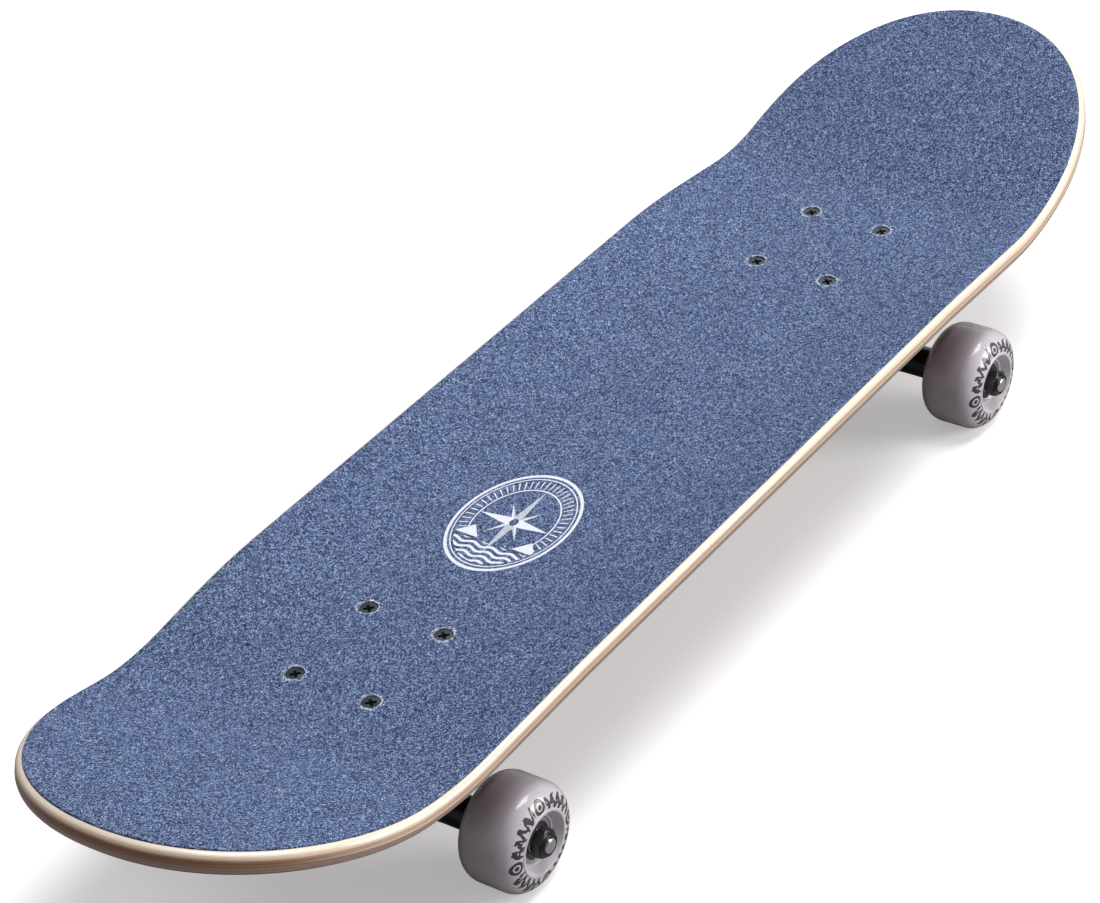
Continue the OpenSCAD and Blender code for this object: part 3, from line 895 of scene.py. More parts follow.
@dataclass(frozen=True)
class GripTape(Finish):
    """Blue abrasive sheet with a printed badge and scuffed rings round the bolts."""

    bolts: tuple[tuple[float, float], ...] = ()
    badge_s: float = -0.0806
    badge_half: tuple[float, float] = (0.040, 0.028)
    hole_r: float = 0.00455

    def rings(self, graph: Graph, x: Socket, y: Socket) -> Socket:
        """Torn, whitened grit close round each bolt hole, as a mask.

        Args:
            graph: The graph of the material.
            x: Length along the board.
            y: Distance across it.

        Returns:
            A mask that fades out from the rim of each hole.
        """
        total: object = 0.0
        for s, v in self.bolts:
            far = graph.radius(graph.math("SUBTRACT", x, s), graph.math("SUBTRACT", y, v))
            near = graph.math("SUBTRACT", 1.0, graph.steps(far, self.hole_r, self.hole_r + 0.0034))
            total = graph.math("ADD", total, near)
        return total

    def badge(self, graph: Graph, x: Socket, y: Socket) -> Socket:
        """An oval print: two outlines, a compass star, rays above and waves below.

        Args:
            graph: The graph of the material.
            x: Length along the board.
            y: Distance across it.

        Returns:
            A mask of the ink.
        """
        along = graph.math("DIVIDE", graph.math("SUBTRACT", x, self.badge_s), self.badge_half[0])
        across = graph.math("DIVIDE", y, self.badge_half[1])
        oval, angle = graph.radius(along, across), graph.math("ARCTAN2", across, along)
        outlines = graph.either(graph.line(oval, 0.974, 0.024), graph.line(oval, 0.905, 0.009))
        field_inside = graph.less(oval, 0.86)
        above = graph.more(along, -0.36)

        def points(turn: float, reach: float, slim: float) -> Socket:
            """How far a four-pointed star reaches at each angle."""
            eighth = graph.sway(graph.math("ADD", angle, turn), math.pi / 4)
            return graph.math("DIVIDE", reach, graph.math("MULTIPLY_ADD", eighth, slim, 0.12))

        star = graph.less(oval, graph.either(points(0.0, 0.081, 0.9), points(math.pi / 4, 0.052, 1.1)))
        facet = graph.span(graph.more(graph.sway(angle, math.pi / 2), math.pi / 4), 0.6, 1.0)
        star = graph.every(star, facet, graph.more(oval, 0.07))
        ray = graph.less(graph.sway(angle, TURN / 112), graph.math("MULTIPLY", oval, 0.0135))
        rays = graph.every(ray, graph.more(oval, 0.71), field_inside, above)
        ripple = graph.math("MULTIPLY", graph.math("SINE", graph.math("MULTIPLY", across, 17.0)), 0.022)
        tide = graph.math("FRACT", graph.math("MULTIPLY", graph.math("ADD", along, ripple), 10.5))
        waves = graph.every(graph.less(tide, 0.45), graph.less(along, -0.48), field_inside)
        slope = graph.math(
            "MULTIPLY_ADD", graph.math("PINGPONG", graph.math("ADD", across, 2.0), 0.28), 0.9, -0.49
        )
        wide = graph.more(graph.apart(across, 0.0), 0.24)
        hills = graph.every(graph.less(along, slope), graph.more(along, -0.44), field_inside, wide)
        rim = graph.every(graph.line(oval, 0.675, 0.011), above)
        return graph.either(outlines, star, rays, waves, hills, rim)

    def build(self, effects: Effects) -> bpy.types.Material:
        """Grains of several blues, a few bright faces, and the print lying on the grains.

        Args:
            effects: The shared shader groups.

        Returns:
            The grit.
        """
        material, graph, shader = self.start()
        board = self.stored(graph, "board")
        x, y, _ = graph.split(board)
        grit = graph.use(effects.grit, vector=board, grain=1850.0)
        shade = grit.outputs["Shade"]
        cloud = graph.span(graph.noise(board, 14.0, 3), 0.94, 1.06)
        grains = graph.ramp(shade, GRIT_STOPS)
        grains = graph.mix(1.0, grains, cloud, "MULTIPLY")
        grains = graph.mix(graph.math("MULTIPLY", grit.outputs["Spark"], 0.45), grains, rgb(170, 186, 222))
        torn = graph.math("MULTIPLY_ADD", self.rings(graph, x, y), 0.62, shade)
        torn = graph.steps(torn, 0.98, 1.25)
        grains = graph.mix(graph.math("MULTIPLY", torn, 0.75), grains, rgb(222, 230, 246))
        cover = graph.span(graph.steps(shade, 0.05, 0.35), 0.72, 1.0)
        ink = graph.math("MULTIPLY", self.badge(graph, x, y), cover)
        graph.feed(shader.inputs["Base Color"], graph.mix(ink, grains, rgb(234, 238, 250)))
        rough = graph.span(grit.outputs["Spark"], 0.82, 0.3)
        graph.feed(
            shader.inputs["Roughness"], graph.math("MAXIMUM", rough, graph.math("MULTIPLY", ink, 0.6))
        )
        graph.feed(shader.inputs["Normal"], graph.bump(grit.outputs["Height"], 0.55, 0.0004))
        return material


GRIT_STOPS = (
    (0.0, rgb(12, 20, 44)),
    (0.3, rgb(32, 46, 82)),
    (0.55, rgb(70, 90, 132)),
    (0.75, rgb(124, 146, 188)),
    (1.0, rgb(206, 220, 244)),
)


@dataclass(frozen=True)
class Paint(Finish):
    """Satin paint over a casting, rubbed through at the edges."""

    colour: tuple = rgb(19, 18, 20)
    bare: tuple = rgb(150, 150, 152)
    wear: float = 0.35

    def build(self, effects: Effects) -> bpy.types.Material:
        """Paint with a pebbled skin, and bare metal showing on worn edges.

        Args:
            effects: The shared shader groups.

        Returns:
            The paint.
        """
        material, graph, shader = self.start()
        place = self.object_place(graph)
        worn = graph.use(
            effects.edge_wear, vector=place, width=0.0009, amount=self.wear, **{"break": 260.0}
        )
        dust = graph.use(effects.dust, vector=place, scale=45.0)
        paint = graph.mix(graph.math("MULTIPLY", dust.outputs["Smear"], 0.25), self.colour, rgb(52, 48, 50))
        graph.feed(shader.inputs["Base Color"], graph.mix(worn.outputs[0], paint, self.bare))
        graph.feed(shader.inputs["Metallic"], graph.math("MULTIPLY", worn.outputs[0], 0.9))
        graph.feed(shader.inputs["Roughness"], graph.span(dust.outputs["Smear"], 0.26, 0.42))
        skin = graph.use(effects.casting, vector=place, scale=620.0)
        graph.feed(shader.inputs["Normal"], graph.bump(skin.outputs[0], 0.16, 0.0003))
        return material


@dataclass(frozen=True)
class Steel(Finish):
    """Plated or ground steel with lathe rings, or with black oxide that wears at the edges."""

    colour: tuple = rgb(190, 190, 188)
    tint: tuple = rgb(165, 168, 172)
    edge: tuple = rgb(225, 225, 225)
    rough: tuple[float, float] = (0.18, 0.36)
    wear: float = 0.3
    metal: bool = True
    # Depth below the top past which the steel is painted near black as painted shade, 0 for none.
    sunk: float = 0.0

    def build(self, effects: Effects) -> bpy.types.Material:
        """Metal whose shade and gloss vary with smears, specks and turning marks; where sunk is set,
        everything deeper than sunk below the top is painted near black as painted shade.

        Args:
            effects: The shared shader groups.

        Returns:
            The steel.
        """
        material, graph, shader = self.start()
        place = self.object_place(graph)
        rings = graph.use(effects.turning, vector=self.stored(graph, "own"))
        worn = graph.use(
            effects.edge_wear, vector=place, width=0.0003, amount=self.wear, **{"break": 900.0}
        )
        dust = graph.use(effects.dust, vector=place, scale=160.0)
        base = graph.mix(dust.outputs["Smear"], self.colour, self.tint)
        base = graph.mix(graph.math("MULTIPLY", dust.outputs["Speck"], 0.25), base, rgb(70, 66, 62))
        base = graph.mix(worn.outputs[0], base, self.edge)
        # Painted shade: the cross recess, the head's chamfer and everything else deeper than sunk is
        # painted near black.
        if self.sunk:
            deep = graph.split(self.stored(graph, "own"))[2]
            inside = graph.math("SUBTRACT", 1.0, graph.steps(deep, -2 * self.sunk, -self.sunk))
            base = graph.mix(inside, base, rgb(9, 9, 10))
        graph.feed(shader.inputs["Base Color"], base)
        if not self.metal:
            graph.feed(shader.inputs["Metallic"], graph.span(worn.outputs[0], 0.35, 1.0))
        graph.feed(shader.inputs["Roughness"], graph.span(dust.outputs["Smear"], *self.rough))
        graph.feed(shader.inputs["Normal"], graph.bump(rings.outputs[0], 0.12, 0.00004))
        return material


@dataclass(frozen=True)
class Urethane(Finish):
    """Poured urethane with a faint cloudiness, used plain on bushings and printed on wheels."""

    colour: tuple = rgb(206, 201, 209)
    cloud: tuple = rgb(194, 187, 197)
    printed: bool = False
    wheel_mid: float = 0.079

    def print_mask(self, graph: Graph) -> Socket:
        """Jagged bars between ringed dots, round the wheel's outer face.

        Args:
            graph: The graph of the material.

        Returns:
            A mask of the ink.
        """
        own = self.stored(graph, "own")
        x, y, z = graph.split(own)
        across, angle = graph.radius(x, y), graph.math("ARCTAN2", y, x)
        face = graph.more(z, self.wheel_mid + 0.005)
        arc = graph.math("MULTIPLY", graph.sway(angle, math.pi / 4), across)
        far = graph.radius(arc, graph.math("SUBTRACT", across, 0.0198))
        ring = graph.either(graph.less(graph.apart(far, 0.0027), 0.00075), graph.less(far, 0.0012))
        shake = graph.math("MULTIPLY_ADD", graph.noise(own, 330.0, 2), 0.2, -0.1)
        swing = graph.sway(graph.math("ADD", angle, shake), TURN / 52)
        zigzag = graph.math("MULTIPLY_ADD", swing, 0.0062 * 52 / TURN, 0.0163)
        stroke = graph.span(graph.noise(own, 620.0, 2), 0.0013, 0.0031)
        bar = graph.less(graph.apart(across, zigzag), stroke)
        patch = graph.more(graph.noise(own, 190.0, 1), 0.5)
        cross = graph.every(graph.less(graph.apart(across, 0.0187), 0.00055), patch)
        top = graph.less(across, graph.span(graph.noise(own, 260.0, 1), 0.0205, 0.0246))
        bars = graph.every(
            graph.either(bar, cross), graph.more(arc, 0.0042), graph.more(across, 0.0162), top
        )
        return graph.every(graph.either(bars, ring), face)

    def build(self, effects: Effects) -> bpy.types.Material:
        """Glossy urethane, with ink where it is printed.

        Args:
            effects: The shared shader groups.

        Returns:
            The urethane.
        """
        material, graph, shader = self.start()
        place = self.object_place(graph)
        dust = graph.use(effects.dust, vector=place, scale=55.0)
        rings = graph.use(effects.turning, vector=self.stored(graph, "own"), pitch=2600.0)
        base = graph.mix(graph.noise(place, 60.0, 3), self.colour, self.cloud)
        base = graph.mix(graph.math("MULTIPLY", dust.outputs["Speck"], 0.12), base, rgb(120, 110, 112))
        rough = graph.span(dust.outputs["Smear"], 0.2, 0.34)
        if self.printed:
            ink = graph.math("MULTIPLY", self.print_mask(graph), 0.97)
            base = graph.mix(ink, base, rgb(20, 20, 30))
            rough = graph.math("MULTIPLY_ADD", ink, 0.15, rough)
        graph.feed(shader.inputs["Base Color"], base)
        graph.feed(shader.inputs["Roughness"], rough)
        graph.feed(shader.inputs["Normal"], graph.bump(rings.outputs[0], 0.06, 0.00008))
        return material


@dataclass(frozen=True)
class Rubber(Finish):
    """Moulded black rubber or nylon."""

    colour: tuple = rgb(20, 20, 22)
    haze: tuple = rgb(44, 42, 46)
    rough: tuple[float, float] = (0.38, 0.6)

    def build(self, effects: Effects) -> bpy.types.Material:
        """Dark rubber with moulding rings and a little haze.

        Args:
            effects: The shared shader groups.

        Returns:
            The rubber.
        """
        material, graph, shader = self.start()
        place = self.object_place(graph)
        dust = graph.use(effects.dust, vector=place, scale=130.0)
        rings = graph.use(effects.turning, vector=self.stored(graph, "own"), pitch=5000.0)
        graph.feed(shader.inputs["Base Color"], graph.mix(dust.outputs["Smear"], self.colour, self.haze))
        graph.feed(shader.inputs["Roughness"], graph.span(dust.outputs["Smear"], *self.rough))
        graph.feed(shader.inputs["Normal"], graph.bump(rings.outputs[0], 0.1, 0.00006))
        return material


class Workshop:
    """Holds the effects, builds each finish once, and seats finished pieces on the frame."""

    def __init__(self) -> None:
        """Starts with no finishes built."""
        self.effects = Effects()
        self.materials: dict[str, bpy.types.Material] = {}
        self.templates: list[Shape] = []

    def material(self, finish: Finish) -> bpy.types.Material:
        """The material of a finish.

        Args:
            finish: The finish wanted.

        Returns:
            Its material, built when first asked for.
        """
        if finish.name not in self.materials:
            self.materials[finish.name] = finish.build(self.effects)
        return self.materials[finish.name]

    def dress(self, shape: Shape, finish: Finish) -> Shape:
        """Gives a whole shape one finish.

        Args:
            shape: The shape to dress.
            finish: The finish it gets.

        Returns:
            The same shape.
        """
        shape.data.materials.clear()
        shape.data.materials.append(self.material(finish))
        return shape

    def template(self, shape: Shape, finish: Finish | None = None) -> Shape:
        """Keeps a shape as a template for copies, with its own coordinates stored on it.

        Args:
            shape: The finished shape.
            finish: The finish it gets, or None if it has one.

        Returns:
            The same shape.
        """
        if finish is not None:
            self.dress(shape, finish)
        if "own" not in shape.data.attributes:
            remember(shape, "own", points_of(shape))
        self.templates.append(shape)
        return shape

    def seat(self, template: Shape, node: str, matrix: Matrix, slot: Slot, body: str) -> Shape:
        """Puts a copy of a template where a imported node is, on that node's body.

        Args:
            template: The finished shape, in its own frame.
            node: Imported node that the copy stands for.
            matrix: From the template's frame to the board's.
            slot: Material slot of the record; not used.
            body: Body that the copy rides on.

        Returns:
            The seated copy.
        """
        made = duplicate(template, f"{node}_finished", matrix)
        if body:
            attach(made, body)
        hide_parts(node)
        log.info("%s: %d faces on %s", made.name, len(made.data.polygons), body or "two bodies")
        return made

    def clear_templates(self) -> None:
        """Removes every template once its copies are seated."""
        for shape in self.templates:
            bpy.data.objects.remove(shape)


WOOD = Maple("maple_plies", Slot.WOOD, (("Coat Weight", 0.55), ("Coat Roughness", 0.16)))
BLACK_PAINT = Paint("black_paint", Slot.CASTING, (("Coat Weight", 0.25), ("Coat Roughness", 0.2)))
ZINC = Steel("bright_zinc", Slot.ZINC, (("Metallic", 1.0),))
POLISHED = Steel("polished_axle", Slot.ZINC, (("Metallic", 1.0),), colour=rgb(214, 214, 212),
                 tint=rgb(196, 198, 200), rough=(0.1, 0.22))
RACE_STEEL = Steel("ground_race", Slot.BEARING, (("Metallic", 1.0),), colour=rgb(202, 203, 206),
                   tint=rgb(184, 186, 190), rough=(0.12, 0.24))
BLACK_OXIDE = Steel("black_oxide", Slot.BLACK_STEEL, (), colour=rgb(22, 22, 24), tint=rgb(36, 35, 38),
                    edge=rgb(128, 128, 132), rough=(0.2, 0.38), wear=0.35, metal=False)
# The bolts' sunk depth paints their cross recess and the rest below the head's top near black, as painted
# shade.
DULL_OXIDE = Steel("rubbed_oxide", Slot.BLACK_STEEL, (), colour=rgb(48, 56, 64), tint=rgb(76, 86, 96),
                   edge=rgb(140, 146, 156), rough=(0.34, 0.55), wear=0.5, metal=False,
                   sunk=0.00014)
WHEEL = Urethane("printed_urethane", Slot.WHEEL, (("Coat Weight", 0.5), ("Coat Roughness", 0.08)),
                 printed=True)
BUSHING = Urethane("bushing_urethane", Slot.BUSHING, (("Coat Weight", 0.2),), colour=rgb(228, 224, 214),
                   cloud=rgb(216, 210, 196))
SEAL = Rubber("seal_rubber", Slot.SEAL)
NYLON = Rubber("nylon_insert", Slot.ZINC, (), colour=rgb(206, 208, 204), haze=rgb(226, 226, 222))
BLACK_NYLON = Rubber("black_nylon", Slot.BLACK_STEEL)


# ---- Deck and grip ------------------------------------------------------------


@dataclass
class Board:
    """The pressed deck and its grip tape. Lengths run along the board's top, in metres."""

    shop: Workshop
    width: float = 0.187
    shoulder_width: float = 0.1795
    thickness: float = 0.011
    edge_top_r: float = 0.0034
    edge_bottom_r: float = 0.0054
    nose_len: float = 0.390
    tail_len: float = 0.3825
    shoulder: float = 0.271
    end_power: float = 2.12
    narrowing: tuple[float, float] = (0.165, 0.290)
    nose_bend: tuple[float, float, float] = (0.234, 0.125, 18.3)
    tail_bend: tuple[float, float, float] = (0.228, 0.169, 17.9)
    concave: float = 0.0092
    concave_power: float = 1.6
    flat_half: float = 0.030
    fade: tuple[float, float] = (0.152, 0.307)
    grip_t: float = 0.0008
    glue_t: float = 0.00002
    grip_inset: float = 0.0027
    bolt_half: tuple[float, float] = (0.02699, 0.02064)
    hole_r: float = 0.0026
    sink_r: float = 0.00495
    sink_depth: float = 0.0027
    station: float = 0.005
    middle_x: float = field(init=False)
    top_z: float = field(init=False)
    pattern_x: float = field(init=False)

    def __post_init__(self) -> None:
        """Finds the board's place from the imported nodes."""
        front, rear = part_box("front_mounting_bolts"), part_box("rear_mounting_bolts")
        front_x, rear_x = (front[0].x + front[1].x) / 2, (rear[0].x + rear[1].x) / 2
        self.middle_x = (front_x + rear_x) / 2
        self.pattern_x = (front_x - rear_x) / 2
        self.top_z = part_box("front_baseplate")[1].z + self.thickness

    def bolts(self) -> list[Point]:
        """Length and distance across of the eight bolts.

        Returns:
            Length and distance across of each, in metres.
        """
        dx, dy = self.bolt_half
        return [
            (end.value * self.pattern_x + i * dx, j * dy) for end in End for i in (-1, 1) for j in (-1, 1)
        ]

    def half_width(self, s: float, inset: float) -> float:
        """Half the width at a length, before the ends round off.

        Args:
            s: Length from the board's middle.
            inset: Distance inside the edge.

        Returns:
            Half the width, in metres.
        """
        share = min(1.0, max(0.0, (abs(s) - self.narrowing[0]) / (self.narrowing[1] - self.narrowing[0])))
        eased = share * share * (3 - 2 * share)
        return self.width / 2 - inset - (self.width - self.shoulder_width) / 2 * eased

    def outline(self, inset: float, gap: float = 0.004) -> list[Point]:
        """The blank's outline, set in from the deck's edge.

        Args:
            inset: Distance inside the edge.
            gap: Rough distance between points.

        Returns:
            Length and distance across of each point, once round.
        """
        right: list[Point] = []
        straight = round(2 * self.shoulder / gap)
        for end in (End.REAR, End.FRONT):
            reach = (self.tail_len if end is End.REAR else self.nose_len) - inset - self.shoulder
            turns = [90 * k / 48 for k in range(1, 49)]
            part = []
            for turn in turns:
                t = math.radians(turn)
                s = self.shoulder + reach * math.sin(t) ** (2 / self.end_power)
                part.append((
                    end.value * s,
                    -self.half_width(s, inset) * max(0, math.cos(t)) ** (2 / self.end_power),
                ))
            if end is End.REAR:
                right += part[::-1]
                steps = [self.shoulder * (2 * k / straight - 1) for k in range(straight + 1)]
                right += [(s, -self.half_width(s, inset)) for s in steps]
            else:
                right += part
        return right + [(s, -v) for s, v in right[-2:0:-1]]

    def kicked(
        self, s: np.ndarray, bend: tuple[float, float, float]
    ) -> tuple[np.ndarray, np.ndarray, np.ndarray]:
        """Place and slope along a kicked-up centreline.

        Args:
            s: Lengths from the middle, all positive.
            bend: Where the bend starts, its radius and its angle in degrees.

        Returns:
            X, Z and slope in radians at each length.
        """
        start, radius, degrees = bend
        angle = math.radians(degrees)
        turn = np.clip((s - start) / radius, 0, angle)
        rest = np.maximum(s - start - radius * angle, 0)
        x = np.minimum(s, start) + radius * np.sin(turn) + rest * math.cos(angle)
        return x, radius * (1 - np.cos(turn)) + rest * math.sin(angle), turn

    def press(self, shape: Shape) -> None:
        """Bends a flat blank into the board's kicks and concave, and stores where each point was.

        Args:
            shape: A flat blank with its length along X.
        """
        flat = points_of(shape)
        s, v, up = flat[:, 0], flat[:, 1], flat[:, 2]
        remember(shape, "board", np.column_stack((s, v, -up)))
        nose, tail = self.kicked(np.abs(s), self.nose_bend), self.kicked(np.abs(s), self.tail_bend)
        front = s >= 0
        x = np.where(front, nose[0], -tail[0])
        z = np.where(front, nose[1], tail[1])
        slope = np.where(front, nose[2], -tail[2])
        fade = np.clip((np.abs(s) - self.fade[0]) / (self.fade[1] - self.fade[0]), 0, 1)
        fade = 1 - fade * fade * (3 - 2 * fade)
        share = np.maximum(np.abs(v) - self.flat_half, 0) / (self.width / 2 - self.flat_half)
        lift = up + self.concave * fade * share ** self.concave_power
        place = (self.middle_x + x - np.sin(slope) * lift, v, self.top_z + z + np.cos(slope) * lift)
        set_points(shape, np.column_stack(place))

    def blank(self, name: str, inset: float, low: float, high: float) -> Shape:
        """A flat blank between two heights, cut across into stations for bending.

        Args:
            name: Name of the blank.
            inset: Distance inside the deck's edge.
            low: Height of its underside.
            high: Height of its top.

        Returns:
            The flat blank.
        """
        shape = outline_shape(name, self.outline(inset), filled=True)
        with editing(shape):
            bpy.ops.transform.translate(value=(0, 0, high))
            bpy.ops.mesh.extrude_region_move(TRANSFORM_OT_translate={"value": (0, 0, low - high)})
            bpy.ops.mesh.select_all(action="SELECT")
            bpy.ops.mesh.normals_make_consistent(inside=False)
        return shape

    def round_rim(self, shape: Shape, height: float, radius: float, segments: int) -> None:
        """Rounds the rim of a blank at one height.

        Args:
            shape: The blank that is changed.
            height: Height of the rim.
            radius: Radius of the rounding.
            segments: Steps across the rounding.
        """
        with editing(shape):
            pick_edges(shape, lambda a, b: abs(a.z - height) < 1e-6 and abs(b.z - height) < 1e-6)
            bpy.ops.mesh.bevel(offset=radius, segments=segments, affect="EDGES", offset_type="OFFSET")

    def cut_stations(self, shape: Shape) -> None:
        """Cuts a blank across and along, so that it bends smoothly.

        Args:
            shape: The blank that is cut.
        """
        across = round(self.width / 2 / self.station)
        along = round(self.nose_len / self.station)
        with editing(shape):
            for k in range(-along, along + 1):
                bpy.ops.mesh.select_all(action="SELECT")
                bpy.ops.mesh.bisect(plane_co=(k * self.station, 0, 0), plane_no=(1, 0, 0))
            for k in range(-across, across + 1):
                bpy.ops.mesh.select_all(action="SELECT")
                bpy.ops.mesh.bisect(plane_co=(0, k * self.station, 0), plane_no=(0, 1, 0))

    def cutters(self, corners: Sequence[Corner]) -> Shape:
        """One cutter at each bolt, joined.

        Args:
            corners: A cutter's half section, in millimetres.

        Returns:
            The cutters as one shape.
        """
        first = turned("bolt_cutter", corners, 40)
        made = [duplicate(first, "bolt_cutter", Matrix.Translation((s, v, 0))) for s, v in self.bolts()]
        bpy.data.objects.remove(first)
        return join(made)

    def deck(self) -> Shape:
        """The deck: blank, rounded rims, countersunk holes, then the press.

        Returns:
            The pressed deck.
        """
        shape = self.blank("deck_finished", 0, -self.thickness, 0)
        self.round_rim(shape, 0, self.edge_top_r, 5)
        self.round_rim(shape, -self.thickness, self.edge_bottom_r, 7)
        self.cut_stations(shape)
        hole, sink, deep = self.hole_r / MM, self.sink_r / MM, self.sink_depth / MM
        carve(shape, self.cutters([
            Corner(0, -15), Corner(hole, -15), Corner(hole, -deep),
            Corner(sink, 0), Corner(sink, 5), Corner(0, 5),
        ]))
        self.press(shape)
        smooth(shape, 40)
        return shape

    def grip(self) -> Shape:
        """The grip tape: a thin blank with a cut edge and punched holes, then the press.

        Returns:
            The pressed sheet.
        """
        low, high = self.glue_t, self.glue_t + self.grip_t
        shape = self.blank("grip_tape_finished", self.grip_inset, low, high)
        self.round_rim(shape, high, self.grip_t * 0.35, 2)
        self.cut_stations(shape)
        punch = self.sink_r / MM - 0.4
        carve(shape, self.cutters([Corner(0, -1), Corner(punch, -1), Corner(punch, 3), Corner(0, 3)]))
        self.press(shape)
        smooth(shape, 40)
        return shape

    def build(self) -> None:
        """Models, dresses and seats both pieces."""
        grip = GripTape("blue_grit", Slot.GRIP, (("Specular IOR Level", 0.3),), bolts=tuple(self.bolts()))
        for shape, node, finish in ((self.deck(), "deck", WOOD), (self.grip(), "grip_tape", grip)):
            self.shop.dress(shape, finish)
            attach(shape, "board")
            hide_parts(node)
            log.info("%s: %d faces", shape.name, len(shape.data.polygons))


# ---- Fasteners ----------------------------------------------------------------


@dataclass
class LockNut:
    """A chamfered hexagonal nut with a rolled collar over a nylon ring, in millimetres."""

    across: float
    height: float
    collar_r: float
    collar_h: float
    hole_r: float

    def build(self, shop: Workshop, name: str, finish: Finish, insert: Finish) -> Shape:
        """The nut with its seat at Z 0 and its collar on top.

        Args:
            shop: The workshop that dresses it.
            name: Name of the nut.
            finish: Finish of the nut and its collar.
            insert: Finish of the nylon ring.

        Returns:
            The nut as one shape.
        """
        deselect()
        bpy.ops.mesh.primitive_cylinder_add(
            vertices=6, radius=self.across / math.sqrt(3) * MM, depth=self.height * MM,
            location=(0, 0, self.height / 2 * MM),
        )
        nut = bpy.context.object
        nut.name = name
        bpy.ops.object.transform_apply(location=True)
        side, chamfer = self.across / math.sqrt(3), self.across * 0.077
        ball = turned("chamfer_body", [
            Corner(0, 0), Corner(side - chamfer, 0), Corner(side, chamfer * 0.6),
            Corner(side, self.height - chamfer * 0.6), Corner(side - chamfer, self.height),
            Corner(0, self.height),
        ], 96)
        carve(nut, ball, "INTERSECT")
        carve(nut, drill("nut_bore", self.hole_r, -1, self.height + 1))
        top = self.height + self.collar_h
        lip = self.collar_r - 0.55
        collar = turned("collar", [
            Corner(self.collar_r + 0.35, self.height - 0.3), Corner(self.collar_r, self.height + 0.5, 0.3),
            Corner(self.collar_r - 0.1, top, 0.45), Corner(lip - 0.7, top, 0.15),
            Corner(lip - 0.7, top - 0.4, 0.1),
            Corner(lip, top - 0.5), Corner(lip, self.height - 0.3),
        ], 64)
        ring = turned("insert", [
            Corner(lip, self.height - 0.2), Corner(lip, top - 0.55),
            Corner(self.hole_r - 0.15, top - 0.55, 0.2),
            Corner(self.hole_r - 0.15, self.height - 0.2, 0.2),
        ], 64)
        for shape, look in ((nut, finish), (collar, finish), (ring, insert)):
            shop.dress(shape, look)
        smooth(nut, 25)
        return join([nut, collar, ring])


@dataclass
class FlatBolt:
    """A countersunk bolt with a cross recess, its head's top at Z 0, in millimetres."""

    length: float = 25.4
    shaft_r: float = 2.4
    head_r: float = 4.75
    head_h: float = 2.7
    thread: float = 16.0
    pitch: float = 0.8
    recess: tuple[float, float, float] = (5.5, 1.75, 2.2)

    def build(self, name: str) -> Shape:
        """The bolt, pointing down.

        Args:
            name: Name of the bolt.

        Returns:
            The bolt.
        """
        end = -self.length
        corners = [Corner(0, end), Corner(self.shaft_r - 0.5, end), Corner(self.shaft_r, end + 0.5)]
        corners += shaft_rings(self.shaft_r, end + 0.5, end + self.thread, self.pitch / 6)
        corners += [
            Corner(self.shaft_r, -self.head_h), Corner(self.head_r, -0.45, 0.1),
            Corner(self.head_r - 0.4, 0, 0.12),
            Corner(0, 0),
        ]
        bolt = turned(name, corners, 40, 3)
        cut_thread(bolt, self.shaft_r, end, end + self.thread, self.pitch)
        for turn in (45, 135):
            carve(bolt, self.recess_blade(turn))
        smooth(bolt, 30)
        return bolt

    def recess_blade(self, turn: float) -> Shape:
        """One tapered blade of the cross recess, turned about Z by degrees.

        Args:
            turn: Turn about Z, in degrees.

        Returns:
            The blade, to carve with.
        """
        length, width, depth = (size * MM for size in self.recess)
        deselect()
        bpy.ops.mesh.primitive_cube_add(size=1, location=(0, 0, 0.02 * MM - depth / 2))
        blade = bpy.context.object
        bpy.ops.transform.resize(value=(length, width, depth))
        bpy.ops.object.transform_apply(location=True, scale=True)
        with editing(blade):
            pick_faces(blade, lambda middle, normal: normal.z < -0.9)
            bpy.ops.transform.resize(value=(0.35, 0.55, 1))
        blade.data.transform(Matrix.Rotation(math.radians(turn), 4, "Z"))
        return blade


# ---- Truck --------------------------------------------------------------------


@dataclass
class TruckFrame:
    """Where one truck's pieces lie. Distances are in millimetres in the truck's side view."""

    end: End
    pivot: Point = (33, -14)
    ring: Point = (-13, -35)
    lean: float = 25
    axle: Point = (11, -48.9)

    def at_truck(self) -> Matrix:
        """From the truck's frame, X outboard and Z 0 on the deck's underside.

        Returns:
            From the truck's frame to the board's.
        """
        joint = next(j for j in frame["joints"] if j["name"] == f"{self.end.word}_steer")
        side = self.end.value
        x = joint["pos_m"][0] - side * self.pivot[0] * MM
        z = joint["pos_m"][2] - self.pivot[1] * MM
        turn = Matrix.Rotation(0 if side > 0 else math.pi, 4, "Z")
        return Matrix.Translation((x, 0, z)) @ turn

    def moved(self, place: Point, turn: float) -> Matrix:
        """From a frame at a place in the side view, leaned outboard by degrees."""
        shift = Matrix.Translation((place[0] * MM, 0, place[1] * MM))
        return self.at_truck() @ shift @ Matrix.Rotation(math.radians(turn), 4, "Y")

    def on_kingpin(self) -> Matrix:
        """From the middle of the hanger's ring, Z up along the kingpin."""
        return self.moved(self.ring, self.lean)

    def on_pivot(self) -> Matrix:
        """From the pivot's middle, Z up and outboard along the steering axis."""
        rise = math.degrees(math.atan2(self.pivot[1] - self.ring[1], self.pivot[0] - self.ring[0]))
        return self.moved(self.pivot, 90 - rise)

    def on_axle(self) -> Matrix:
        """From the middle of the axle, Z towards the truck's own left."""
        return self.moved(self.axle, 0) @ Matrix.Rotation(-math.pi / 2, 4, "X")


